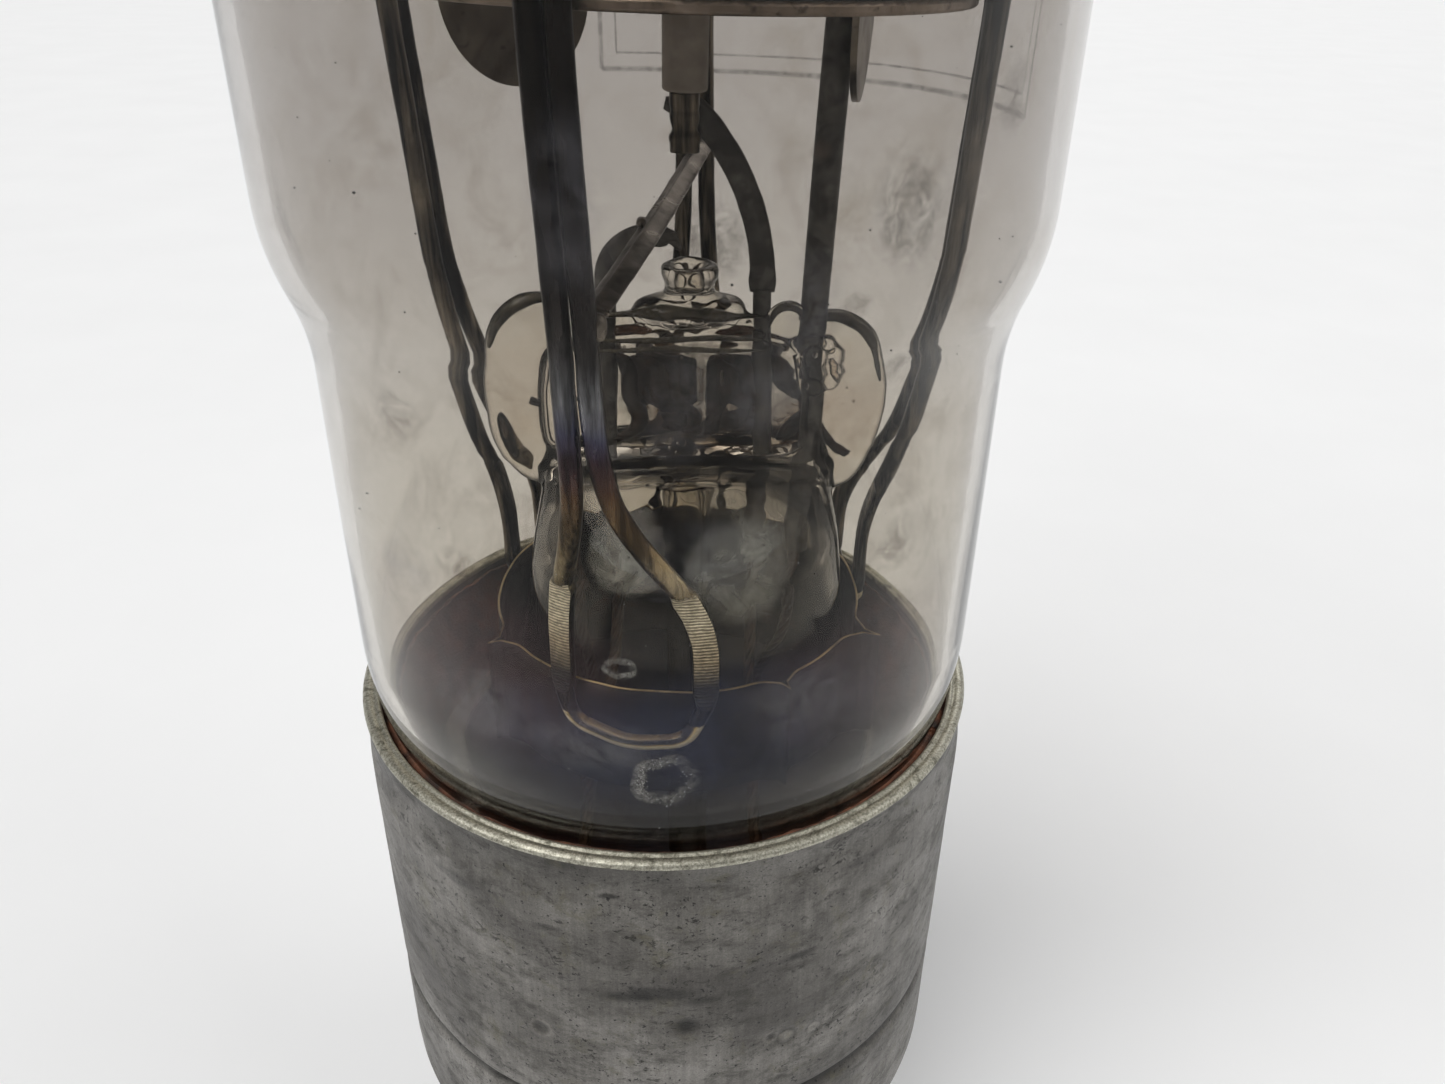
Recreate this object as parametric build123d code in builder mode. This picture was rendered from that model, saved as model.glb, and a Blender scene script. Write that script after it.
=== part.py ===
"""Gas-filled control tube: glass bulb on a deep four-pin metal base, with a caged electrode stack.

Millimetres. Origin at the centre of the plane of the pin tips, +Z up along the bulb's axis.
The stem and the cage stand slightly off the axis, as hand-sealed glass does.
"""
from build123d import *
import math
import os

os.makedirs("parts", exist_ok=True)

# ---------------------------------------------------------------- driving dimensions
pin_length = 19.0
shell_height = 57.0
rim_z = pin_length + shell_height  # top rim of the base shell
overall_height = 236.0

shell_radius = 29.4
shell_wall = 0.8
shell_corner = 13.0
shell_mouth_radius = 22.0

bulb_radius = 30.95
neck_radius = 28.5
glass_wall = 1.4

stem_x = 1.9  # centre of the press
collar_x = 1.2  # centre of the band round the stem
cage_x = 1.1  # centre of the cage
cage_lean = 0.9  # degrees, towards +X
cage_floor_z = rim_z + 59.0

cage_radius = 22.3
can_radius = 21.8
rod_radius = 0.85
collar_radius = 17.2
seat_gap = 0.02  # between faces that touch, so that neighbours don't overlap


# ---------------------------------------------------------------- shared frames
def level(height, x=0.0, y=0.0):
    """Horizontal plane at a height, centred over (x, y)."""
    return Plane(origin=(x, y, height))


cage = Plane(
    origin=(cage_x, 0, cage_floor_z),
    x_dir=(math.cos(math.radians(cage_lean)), 0, -math.sin(math.radians(cage_lean))),
    z_dir=(math.sin(math.radians(cage_lean)), 0, math.cos(math.radians(cage_lean))),
)
cage_section = Plane(origin=cage.origin, x_dir=cage.x_dir, z_dir=-cage.y_dir)
cage_axis = Axis(cage.origin, cage.z_dir)


def on_circle(azimuth, radius, height, centre_x=0.0):
    """Point on a circle: azimuth 0 is -Y, positive towards +X."""
    angle = math.radians(azimuth)
    return (centre_x + radius * math.sin(angle), -radius * math.cos(angle), height)


def corner_radii(points, largest):
    """Fillet radius for each inner point of a path: as large as its runs allow."""
    radii = []
    for before, here, after in zip(points, points[1:], points[2:]):
        run_in = Vector(here) - Vector(before)
        run_out = Vector(after) - Vector(here)
        half_turn = math.radians(run_in.get_angle(run_out)) / 2
        fits = 0.45 * min(run_in.length, run_out.length) / math.tan(half_turn)
        radii.append(min(largest, fits))
    return radii


# ---------------------------------------------------------------- base shell
rim_width = 1.66
rim_depth = 1.6
rim_bevel = 0.4
rim_lip = 0.9  # height of the slope under the rolled rim
groove_z = rim_z - 32.0
groove_ball = 1.3
groove_depth = 0.4
dimples = ((-23.0, rim_z - 21.7), (2.6, rim_z - 19.0), (20.5, rim_z - 23.2))  # azimuth and height of each
dimple_ball = 2.4
dimple_depth = 0.5
corner_centre_x = shell_radius - shell_corner
corner_centre_z = pin_length + shell_corner
mouth_reach = shell_mouth_radius - corner_centre_x
mouth_outer_z = corner_centre_z - math.sqrt(shell_corner**2 - mouth_reach**2)
mouth_inner_z = corner_centre_z - math.sqrt((shell_corner - shell_wall) ** 2 - mouth_reach**2)
shell_inner = shell_radius - shell_wall

with BuildPart() as base_shell:
    with BuildSketch(Plane.XZ):
        with BuildLine():
            RadiusArc(
                (shell_mouth_radius, mouth_outer_z), (shell_radius, corner_centre_z), -shell_corner
            )
            Polyline(
                (shell_radius, corner_centre_z),
                (shell_radius, rim_z - rim_bevel),
                (shell_radius - rim_bevel, rim_z),
                (shell_radius - rim_width + rim_bevel, rim_z),
                (shell_radius - rim_width, rim_z - rim_bevel),
                (shell_radius - rim_width, rim_z - rim_depth),
                (shell_inner, rim_z - rim_depth - rim_lip),
                (shell_inner, corner_centre_z),
            )
            RadiusArc(
                (shell_inner, corner_centre_z),
                (shell_mouth_radius, mouth_inner_z),
                shell_corner - shell_wall,
            )
            Line((shell_mouth_radius, mouth_inner_z), (shell_mouth_radius, mouth_outer_z))
        make_face()
    revolve(axis=Axis.Z)
    with BuildSketch(Plane.XZ):
        with Locations((shell_radius + groove_ball - groove_depth, groove_z)):
            Circle(groove_ball)
    revolve(axis=Axis.Z, mode=Mode.SUBTRACT)
    dimple_centre = shell_radius + dimple_ball - dimple_depth
    with Locations([on_circle(azimuth, dimple_centre, z) for azimuth, z in dimples]):
        Sphere(dimple_ball, mode=Mode.SUBTRACT)

base_shell.part.label = "base_shell"
export_step(base_shell.part, "parts/base_shell.step")

# ---------------------------------------------------------------- bayonet pin
bayonet_z = rim_z - 38.0
bayonet_radius = 1.6
bayonet_reach = 30.9

with BuildPart() as bayonet_pin:
    with BuildSketch(Plane.XZ.offset(-shell_radius - seat_gap)):
        with Locations((0, bayonet_z)):
            Circle(bayonet_radius)
    extrude(amount=-(bayonet_reach - shell_radius - seat_gap))
    fillet(bayonet_pin.edges().filter_by(GeomType.CIRCLE).sort_by(Axis.Y)[-1], 0.5)

bayonet_pin.part.label = "bayonet_pin"
export_step(bayonet_pin.part, "parts/bayonet_pin.step")

# ---------------------------------------------------------------- base insulator and pins
pin_radius = 3.96
shank_radius = 3.5  # each pin steps down where it enters the wafer
pin_bore = 3.0
pin_circle = 15.875
pin_count = 4
pin_top_z = pin_length + 8.5
pin_clearance = 0.04
pin_end_round = 0.9
collar_reach = 0.9  # how far each pin's collar stands out over the wafer
collar_thickness = 0.8
wafer_bottom_z = pin_length
wafer_top_z = pin_length + 6.0
wafer_radius = shell_mouth_radius - 0.15
wafer_ledge_radius = 23.2
wafer_ledge_z = pin_length + 3.7
wafer_chamfer = 0.6

with BuildPart() as base_insulator:
    with BuildSketch(level(wafer_bottom_z)):
        Circle(wafer_radius)
    extrude(amount=wafer_top_z - wafer_bottom_z)
    with BuildSketch(level(wafer_ledge_z)):
        Circle(wafer_ledge_radius)
    extrude(amount=wafer_top_z - wafer_ledge_z)
    chamfer(base_insulator.edges().group_by(Axis.Z)[0], wafer_chamfer)
    with BuildSketch(level(wafer_bottom_z)):
        with PolarLocations(pin_circle, pin_count, start_angle=45):
            Circle(shank_radius + pin_clearance)
    extrude(amount=wafer_top_z - wafer_bottom_z, mode=Mode.SUBTRACT)

base_insulator.part.label = "base_insulator"
export_step(base_insulator.part, "parts/base_insulator.step")

with BuildPart() as base_pins:
    with BuildSketch(level(0)):
        with PolarLocations(pin_circle, pin_count, start_angle=45):
            Circle(pin_radius)
    extrude(amount=pin_length - seat_gap)
    with BuildSketch(level(pin_length - seat_gap)):
        with PolarLocations(pin_circle, pin_count, start_angle=45):
            Circle(shank_radius)
    extrude(amount=pin_top_z - pin_length + seat_gap)
    with BuildSketch(level(wafer_top_z + 0.05)):
        with PolarLocations(pin_circle, pin_count, start_angle=45):
            Circle(pin_radius + collar_reach)
    extrude(amount=collar_thickness)
    fillet(base_pins.edges().group_by(Axis.Z)[0], pin_end_round)
    with BuildSketch(level(0)):
        with PolarLocations(pin_circle, pin_count, start_angle=45):
            Circle(pin_bore)
    extrude(amount=pin_top_z, mode=Mode.SUBTRACT)

base_pins.part.label = "base_pins"
export_step(base_pins.part, "parts/base_pins.step")

solder_low_z = 0.5
solder_high_z = 4.0
solder_round = 1.4

with BuildPart() as pin_solder:
    with BuildSketch(level(solder_low_z)):
        with PolarLocations(pin_circle, pin_count, start_angle=45):
            Circle(pin_bore - seat_gap)
    extrude(amount=solder_high_z - solder_low_z)
    fillet(pin_solder.edges().group_by(Axis.Z)[0], solder_round)

pin_solder.part.label = "pin_solder"
export_step(pin_solder.part, "parts/pin_solder.step")

# ---------------------------------------------------------------- glass bulb
turn_in_z = rim_z + 8.0  # the neck starts to draw in towards its seal
turn_in_radius = 30.0
turn_in_run = 7.2  # straight stretch between the two bends
seal_turn = 84.0  # degrees from upright where the wall reaches its seal
seal_radius = 5.2
seal_edge_radius = 21.9
shoulder_z = rim_z + 33.0
shoulder_height = 13.0
body_top_z = rim_z + 125.0
dome_radius = 16.0
dome_sweep = 62.0
crown_radius = 38.0
crown_sweep = 22.0
tubulation_radius = 6.0
tubulation_bore = 4.4
tubulation_low_z = body_top_z + 8.0
tubulation_top_z = rim_z + 150.5
tubulation_height = tubulation_top_z - tubulation_low_z

shoulder_step = bulb_radius - neck_radius
shoulder_radius = (shoulder_height**2 + shoulder_step**2) / (4 * shoulder_step)
shoulder_turn = math.degrees(2 * math.atan(shoulder_step / shoulder_height))
turn_in_angle = math.degrees(math.asin((turn_in_z - rim_z) / turn_in_radius))


def envelope_face(inset):
    """Closed half-section of the bulb, inset by a wall thickness from its outer skin."""
    start = (neck_radius - inset, shoulder_z)
    up = JernArc(start, (0, 1), shoulder_radius + inset, -shoulder_turn)
    over = JernArc(up @ 1, up % 1, shoulder_radius - inset, shoulder_turn)
    body = Line(over @ 1, (bulb_radius - inset, body_top_z))
    dome = JernArc(body @ 1, (0, 1), dome_radius - inset, dome_sweep)
    crown = JernArc(dome @ 1, dome % 1, crown_radius - inset, crown_sweep)
    roof = Line(crown @ 1, (0, (crown @ 1).Y))
    neck = Line(start, (neck_radius - inset, turn_in_z))
    draw_in = JernArc(neck @ 1, (0, -1), turn_in_radius - inset, -turn_in_angle)
    run = PolarLine(draw_in @ 1, turn_in_run, direction=draw_in % 1)
    seal = JernArc(run @ 1, draw_in % 1, seal_radius - inset, -(seal_turn - turn_in_angle))
    floor = Line(seal @ 1, (0, (seal @ 1).Y))
    Line(roof @ 1, floor @ 1)


with BuildPart() as glass_bulb:
    with BuildSketch(Plane.XZ):
        with BuildLine():
            envelope_face(0)
        make_face()
    revolve(axis=Axis.Z)
    with BuildSketch(level(tubulation_low_z)):
        Circle(tubulation_radius)
    extrude(amount=tubulation_height)
    with BuildSketch(Plane.XZ):
        with BuildLine():
            envelope_face(glass_wall)
        make_face()
    revolve(axis=Axis.Z, mode=Mode.SUBTRACT)
    with BuildSketch(level(pin_length)):
        Circle(seal_edge_radius)
    extrude(amount=shell_height, mode=Mode.SUBTRACT)
    with BuildSketch(level(tubulation_low_z)):
        Circle(tubulation_bore)
    extrude(amount=tubulation_height, mode=Mode.SUBTRACT)

glass_bulb.part.label = "glass_bulb"
export_step(glass_bulb.part, "parts/glass_bulb.step")

# ---------------------------------------------------------------- base cement
cement_top_z = rim_z - 1.0
cement_low_z = rim_z - 14.0
cement_inner_top = neck_radius - 1.0
cement_inner_low = neck_radius - 2.6
cement_outer_top = shell_radius - rim_width - 0.1
cement_outer_low = shell_inner - 0.05

with BuildPart() as base_cement:
    with BuildSketch(Plane.XZ):
        with BuildLine():
            Polyline(
                (cement_inner_top, cement_top_z),
                (cement_outer_top, cement_top_z),
                (cement_outer_top, rim_z - rim_depth - 0.1),
                (cement_outer_low, rim_z - rim_depth - rim_lip - 0.1),
                (cement_outer_low, cement_low_z),
                (cement_inner_low, cement_low_z),
                (cement_inner_low, rim_z - 6.6),
                (cement_inner_top, cement_top_z),
            )
        make_face()
    revolve(axis=Axis.Z)

base_cement.part.label = "base_cement"
export_step(base_cement.part, "parts/base_cement.step")

# ---------------------------------------------------------------- press leads
# Where each lead crosses the press: x at the press, y, and height of its upper end.
lead_radius = 0.8
lead_low_z = rim_z + 12.0
grid_lead_x = -4.9
heater_lead_x = 8.35
lead_y = 0.4
bar_low = (12.2, 0, lead_low_z)
bar_high = (13.9, 0, cage_floor_z + 4.0)
bar_radius = 1.2
grid_lead_top_z = rim_z + 36.0
heater_lead_top_z = rim_z + 36.5


with BuildPart() as grid_press_lead:
    with BuildSketch(level(lead_low_z, grid_lead_x, lead_y)):
        Circle(lead_radius)
    extrude(amount=grid_lead_top_z - lead_low_z)

grid_press_lead.part.label = "grid_press_lead"
export_step(grid_press_lead.part, "parts/grid_press_lead.step")

with BuildPart() as heater_press_lead:
    with BuildSketch(level(lead_low_z, heater_lead_x, lead_y)):
        Circle(lead_radius)
    extrude(amount=heater_lead_top_z - lead_low_z)

heater_press_lead.part.label = "heater_press_lead"
export_step(heater_press_lead.part, "parts/heater_press_lead.step")

bar_run = Vector(bar_high) - Vector(bar_low)

with BuildPart() as cathode_lead_bar:
    with BuildSketch(Plane(origin=bar_low, z_dir=bar_run)):
        Circle(bar_radius)
    extrude(amount=bar_run.length)

cathode_lead_bar.part.label = "cathode_lead_bar"
export_step(cathode_lead_bar.part, "parts/cathode_lead_bar.step")

# ---------------------------------------------------------------- strands sealed in the press
# The stranded leads are splayed out where the glass grips them. Each is a list of (x, height).
strand_y = 1.9
strand_radius = 0.5
strand_bend = 1.3
strands = (
    ((-10.6, 27.3), (-8.4, 27.4)),
    ((-3.9, 30.0), (-1.6, 28.2), (-0.9, 24.8), (-2.7, 22.6)),
    ((0.2, 29.6), (1.6, 27.0), (0.9, 24.4)),
    ((4.1, 29.8), (3.4, 26.6), (4.2, 23.6)),
    ((5.9, 29.4), (6.3, 26.6), (5.4, 24.2)),
    ((8.6, 29.8), (11.9, 27.6), (13.2, 24.2), (15.9, 21.6)),
    ((11.4, 25.2), (9.8, 22.8)),
)

with BuildPart() as press_seal_strands:
    for strand in strands:
        points = [(x, strand_y, rim_z + height) for x, height in strand]
        with BuildLine() as strand_line:
            if len(points) == 2:
                Line(*points)
            else:
                FilletPolyline(*points, radius=strand_bend)
        strand_path = strand_line.wire()
        with BuildSketch(Plane(origin=points[0], z_dir=strand_path % 0)):
            Circle(strand_radius)
        sweep(path=strand_path)

press_seal_strands.part.label = "press_seal_strands"
export_step(press_seal_strands.part, "parts/press_seal_strands.step")

# ---------------------------------------------------------------- glass stem
# The flare tube rises from the seal, narrows, and is squeezed flat into the press.
stem_wall = 1.2
flare_rings = (  # height above the rim, half-width in X, half-width in Y, centre in X
    (-11.3, 21.8, 21.8, 0.1),
    (-10.0, 20.4, 20.4, 0.3),
    (-8.0, 18.6, 18.6, 0.6),
    (-4.0, 16.6, 16.6, 1.1),
    (2.0, 15.9, 15.9, 1.5),
    (8.0, 15.2, 15.2, 1.8),
    (14.0, 14.3, 13.6, stem_x),
    (18.0, 13.4, 10.6, stem_x),
    (22.0, 12.6, 5.6, stem_x),
    (26.0, 12.0, 2.9, stem_x),
)
press_half_thickness = 2.7
press_ear_slots = (  # x of the middle, half-width, low end, high end (above the rim)
    (-12.2, 3.1, 18.9, 35.8),
    (10.7, 2.8, 20.0, 35.4),
    (16.0, 3.2, 17.4, 34.4),
)
press_block = (-9.6, 9.4, 20.0, 33.6)  # x and height of its two corners
press_corner = 2.4
press_top = 32.0  # where the nipple starts
shrink_above = 16.0  # the hollow keeps its wall from here up, where the tube closes
shrink = 0.6
nipple_x = 2.05
nipple_radius = 2.2
nipple_bore = 1.3
nipple_top_z = rim_z + 39.0
nipple_low_z = rim_z + 19.0

with BuildPart() as stem_hollow:
    for height, half_x, half_y, centre in flare_rings[:-1]:
        drop = shrink if height > shrink_above else 0
        with BuildSketch(level(rim_z + height - drop, centre)):
            Ellipse(half_x - stem_wall, half_y - stem_wall)
    loft()

with BuildPart() as glass_stem:
    for height, half_x, half_y, centre in flare_rings:
        with BuildSketch(level(rim_z + height, centre)):
            Ellipse(half_x, half_y)
    loft()
    add(stem_hollow.part, mode=Mode.SUBTRACT)
    with BuildSketch(Plane.XZ):
        low_x, high_x, low_z, high_z = press_block
        with Locations(((low_x + high_x) / 2, rim_z + (low_z + high_z) / 2)):
            RectangleRounded(high_x - low_x, high_z - low_z, press_corner)
        for middle, half_width, low, high in press_ear_slots:
            with Locations((middle, rim_z + (low + high) / 2)):
                SlotOverall(high - low, 2 * half_width, rotation=90)
    extrude(amount=press_half_thickness, both=True)
    with BuildSketch(Plane.XZ):
        with BuildLine():
            Polyline(
                (nipple_x, rim_z + press_top),
                (nipple_x + 5.0, rim_z + press_top),
                (nipple_x + 4.6, rim_z + press_top + 2.6),
                (nipple_x + nipple_radius + 0.3, rim_z + press_top + 4.6),
                (nipple_x + nipple_radius, nipple_top_z),
                (nipple_x, nipple_top_z),
                (nipple_x, rim_z + press_top),
            )
        make_face()
    revolve(axis=Axis((nipple_x, 0, 0), (0, 0, 1)))
    with BuildSketch(level(nipple_low_z, nipple_x)):
        Circle(nipple_bore)
    extrude(amount=nipple_top_z - nipple_low_z, mode=Mode.SUBTRACT)
    add(grid_press_lead.part, mode=Mode.SUBTRACT)
    add(heater_press_lead.part, mode=Mode.SUBTRACT)
    add(cathode_lead_bar.part, mode=Mode.SUBTRACT)
    add(press_seal_strands.part, mode=Mode.SUBTRACT)

glass_stem.part.label = "glass_stem"
export_step(glass_stem.part, "parts/glass_stem.step")

# ---------------------------------------------------------------- exhaust tube
exhaust_radius = 2.0
exhaust_wall = 0.7
exhaust_top_z = rim_z + 18.6
exhaust_tip_z = rim_z - 30.0
exhaust_draw = 5.0  # length of the drawn tip

with BuildPart() as exhaust_tube:
    with BuildSketch(Plane.XZ):
        with BuildLine():
            Polyline(
                (nipple_x, exhaust_tip_z),
                (nipple_x + 0.7, exhaust_tip_z + 0.6),
                (nipple_x + exhaust_radius, exhaust_tip_z + exhaust_draw),
                (nipple_x + exhaust_radius, exhaust_top_z),
                (nipple_x + exhaust_radius - exhaust_wall, exhaust_top_z),
                (nipple_x + exhaust_radius - exhaust_wall, exhaust_tip_z + exhaust_draw),
                (nipple_x, exhaust_tip_z + 2.0),
                (nipple_x, exhaust_tip_z),
            )
        make_face()
    revolve(axis=Axis((nipple_x, 0, 0), (0, 0, 1)))

exhaust_tube.part.label = "exhaust_tube"
export_step(exhaust_tube.part, "parts/exhaust_tube.step")

# ---------------------------------------------------------------- glass bead on the bar
bead_z = rim_z + 35.9
bead_share = (bead_z - bar_low[2]) / (bar_high[2] - bar_low[2])
bead_x = bar_low[0] + bead_share * (bar_high[0] - bar_low[0])
bead_radius = 2.1
bead_half_height = 1.5

with BuildPart() as lead_bead:
    with BuildSketch(Plane.XZ):
        with Locations((bead_x, bead_z)):
            Ellipse(bead_radius, bead_half_height)
        with Locations((bead_x - bead_radius, bead_z)):
            Rectangle(2 * bead_radius, 3 * bead_half_height, mode=Mode.SUBTRACT)
    revolve(axis=Axis((bead_x, 0, 0), (0, 0, 1)))
    add(cathode_lead_bar.part, mode=Mode.SUBTRACT)
    add(glass_stem.part, mode=Mode.SUBTRACT)

lead_bead.part.label = "lead_bead"
export_step(lead_bead.part, "parts/lead_bead.step")

# ---------------------------------------------------------------- collar round the stem
collar_low_z = rim_z - 3.0
collar_top_z = rim_z + 8.0
collar_wall = 0.3
ear_wall = 0.65
ear_root = 0.3  # overlap of an ear with the band
collar_ears = ((-61, 2.0), (28, 1.9), (63, 3.0), (152, 2.2), (-152, 2.2))  # azimuth, reach

with BuildPart() as stem_collar:
    with BuildSketch(level(collar_low_z, collar_x)):
        Circle(collar_radius)
        for azimuth, reach in collar_ears:
            middle = on_circle(azimuth, collar_radius + reach / 2 - ear_root, 0)
            with Locations(Location((middle[0], middle[1]), azimuth)):
                Rectangle(ear_wall, reach + 2 * ear_root)
        Circle(collar_radius - collar_wall, mode=Mode.SUBTRACT)
    extrude(amount=collar_top_z - collar_low_z)

stem_collar.part.label = "stem_collar"
export_step(stem_collar.part, "parts/stem_collar.step")

# ---------------------------------------------------------------- hairpin supports of the cage
# One rod each: up one leg, and down the other, with its bight at the collar.
pair_half_angle = 2.25  # half the angle between the two legs at the top
foot_circle = collar_radius + rod_radius + 0.05
early_spread = (  # height above the rim, radius of its circle, share of the spread done
    (59.0, 23.7, 0.0),
    (36.0, 22.4, 0.1),
    (22.5, 20.4, 0.5),
    (14.5, foot_circle, 1.0),
    (3.0, foot_circle, 1.0),
)
late_spread = (  # the front pair stays together further down
    (59.0, 23.7, 0.0),
    (30.0, 21.3, 0.03),
    (24.5, 20.3, 0.2),
    (15.5, foot_circle, 1.0),
    (3.0, foot_circle, 1.0),
)
hairpin_top = (114.0, 23.4)  # height above the rim, radius of its circle
hairpin_largest_bend = 14.0
hairpin_top_x = 2.2  # the cage's lean carries its centre this far off the axis
bight_height = 2.0
bight_swell = 1.0
hairpins = (  # name, azimuth at the cage, azimuths of the two feet, how the legs spread
    ("front", -19.0, -33.0, 6.0, late_spread),
    ("right", 77.0, 95.0, 115.0, early_spread),
    ("back", 175.0, 163.0, 187.0, early_spread),
    ("left", -107.0, -128.0, -110.0, early_spread),
)


def leg_points(top_azimuth, foot_azimuth, profile):
    """Centre points of one leg, from the top down."""
    height, radius = hairpin_top
    points = [on_circle(top_azimuth, radius, rim_z + height, hairpin_top_x)]
    for height, radius, share in profile:
        azimuth = top_azimuth + share * (foot_azimuth - top_azimuth)
        centre = cage_x if share == 0 else collar_x
        points.append(on_circle(azimuth, radius, rim_z + height, centre))
    return points


for name, cage_azimuth, foot_a, foot_b, profile in hairpins:
    down = leg_points(cage_azimuth - pair_half_angle, foot_a, profile)
    up = leg_points(cage_azimuth + pair_half_angle, foot_b, profile)
    bight = on_circle((foot_a + foot_b) / 2, foot_circle + bight_swell, rim_z + bight_height, collar_x)
    route = down + [bight] + up[::-1]
    radii = corner_radii(route, hairpin_largest_bend)
    with BuildPart() as hairpin:
        with BuildLine() as rod_line:
            FilletPolyline(*route, radius=radii)
        rod_path = rod_line.wire()
        with BuildSketch(Plane(origin=route[0], z_dir=rod_path % 0)):
            Circle(rod_radius)
        sweep(path=rod_path)
    drawn = rod_path.length * math.pi * rod_radius**2
    print(f"support_hairpin_{name}: volume / (section x length) {hairpin.part.volume / drawn:.4f}")
    hairpin.part.label = f"support_hairpin_{name}"
    export_step(hairpin.part, f"parts/support_hairpin_{name}.step")

# ---------------------------------------------------------------- cage floor and its tabs
floor_thickness = 0.8
floor_edge_round = 0.25
bar_hole_radius = 1.9
sleeve_x = 0.75  # the ceramic sleeve's place, from the cage's centre
sleeve_y = -1.25
sleeve_hole_radius = 2.1
bar_floor_x = 12.7  # where the bar passes through the floor, from the cage's centre

with BuildPart() as cage_floor:
    with BuildSketch(cage):
        Circle(cage_radius)
        with Locations((bar_floor_x, 0)):
            Circle(bar_hole_radius, mode=Mode.SUBTRACT)
        with Locations((sleeve_x, sleeve_y)):
            Circle(sleeve_hole_radius, mode=Mode.SUBTRACT)
    extrude(amount=floor_thickness)
    fillet(cage_floor.edges().filter_by(GeomType.CIRCLE).sort_by(SortBy.LENGTH)[-2:], floor_edge_round)

cage_floor.part.label = "cage_floor"
export_step(cage_floor.part, "parts/cage_floor.step")

# Half-round tabs that hang from the floor: azimuth, distance, half-width, turn of the plate
tab_wall = 0.5
tab_drop = 6.8
tab_seat = -0.06  # height of a tab's flat edge from the underside of the floor
floor_tabs = ((-93, 12.0, 5.6, 6.0), (78, 14.2, 5.6, 74.0))

with BuildPart() as cage_floor_tabs:
    for azimuth, distance, half_width, turn in floor_tabs:
        middle = on_circle(azimuth, distance, 0)
        tab_side = cage * Location((middle[0], middle[1], tab_seat), (0, 0, turn))
        with BuildSketch(Plane(tab_side * Location((0, 0, 0), (90, 0, 0)))):
            Ellipse(half_width, tab_drop)
            with Locations((0, tab_drop)):
                Rectangle(3 * half_width, 2 * tab_drop, mode=Mode.SUBTRACT)
        extrude(amount=tab_wall / 2, both=True)

cage_floor_tabs.part.label = "cage_floor_tabs"
export_step(cage_floor_tabs.part, "parts/cage_floor_tabs.step")

# ---------------------------------------------------------------- grid can, baffle and lid
can_wall = 0.5
can_low = floor_thickness + seat_gap
can_top = 54.0
bead_heights = (9.0, 46.0)
bead_ball = 1.0
can_bead_proud = 0.45
baffle_height = 36.0
baffle_thickness = 0.6
baffle_hole_radius = 1.5
baffle_rings = ((0.0, 1), (4.2, 6), (8.4, 12), (12.6, 18))  # radius, number of holes
lid_thickness = 0.7
lid_hole_radius = 9.0
vent_count = 8
vent_width = 3.0
vent_length = 12.0
vent_height = 20.0
vent_first = 22.5  # degrees

with BuildPart() as grid_can:
    with BuildSketch(cage.offset(can_low)):
        Circle(can_radius)
    extrude(amount=can_top - can_low)
    for height in bead_heights:
        with BuildSketch(cage_section):
            with Locations((can_radius - bead_ball + can_bead_proud, height)):
                Circle(bead_ball)
        revolve(axis=cage_axis)
    with BuildSketch(cage.offset(can_low)):
        Circle(can_radius - can_wall)
    extrude(amount=can_top - can_low, mode=Mode.SUBTRACT)
    for height in bead_heights:
        with BuildSketch(cage_section):
            with Locations((can_radius - bead_ball + can_bead_proud, height)):
                Circle(bead_ball - can_wall)
        revolve(axis=cage_axis, mode=Mode.SUBTRACT)
    for turn in range(vent_count):
        vent_side = cage * Location((0, 0, vent_height), (0, 0, vent_first + 360 / vent_count * turn))
        with BuildSketch(Plane(vent_side * Location((0, 0, 0), (90, 0, 0)))):
            SlotOverall(vent_length, vent_width, rotation=90)
        extrude(amount=can_radius + 3, mode=Mode.SUBTRACT)

grid_can.part.label = "grid_can"
export_step(grid_can.part, "parts/grid_can.step")

with BuildPart() as grid_baffle:
    with BuildSketch(cage.offset(baffle_height)):
        Circle(can_radius - can_wall - seat_gap)
        for ring_radius, ring_count in baffle_rings:
            with PolarLocations(ring_radius, ring_count):
                Circle(baffle_hole_radius, mode=Mode.SUBTRACT)
    extrude(amount=baffle_thickness)

grid_baffle.part.label = "grid_baffle"
export_step(grid_baffle.part, "parts/grid_baffle.step")

with BuildPart() as grid_can_lid:
    with BuildSketch(cage.offset(can_top + seat_gap)):
        Circle(cage_radius)
        Circle(lid_hole_radius, mode=Mode.SUBTRACT)
    extrude(amount=lid_thickness)
    lid_edges = grid_can_lid.edges().filter_by(GeomType.CIRCLE).sort_by(SortBy.LENGTH)
    fillet(lid_edges[-2:], floor_edge_round)

grid_can_lid.part.label = "grid_can_lid"
export_step(grid_can_lid.part, "parts/grid_can_lid.step")

# ---------------------------------------------------------------- cathode stack inside the can
insulator_height = 1.6
insulator_thickness = 2.0
insulator_radius = 17.0
core_radius = 1.2
core_height = (6.6, 27.0)
heater_circle = 2.6
heater_wire_radius = 0.35
heater_legs = 8
heater_height = (7.0, 27.6)
heater_bend = 0.8
sleeve_outer = 10.0
sleeve_wall = 0.4
sleeve_height = (5.6, 28.4)
vane_count = 12
vane_wall = 0.25
vane_inner = 4.0
vane_root = 0.1  # overlap of a vane with its core ring
vane_inset = 1.0  # from each end of the sleeve
shields = (  # name, radius, low and high ends, radius of the mouth in its top
    ("inner", 12.6, 4.0, 30.0, 5.0),
    ("outer", 15.0, 3.8, 31.8, 6.5),
)
shield_wall = 0.25

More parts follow.
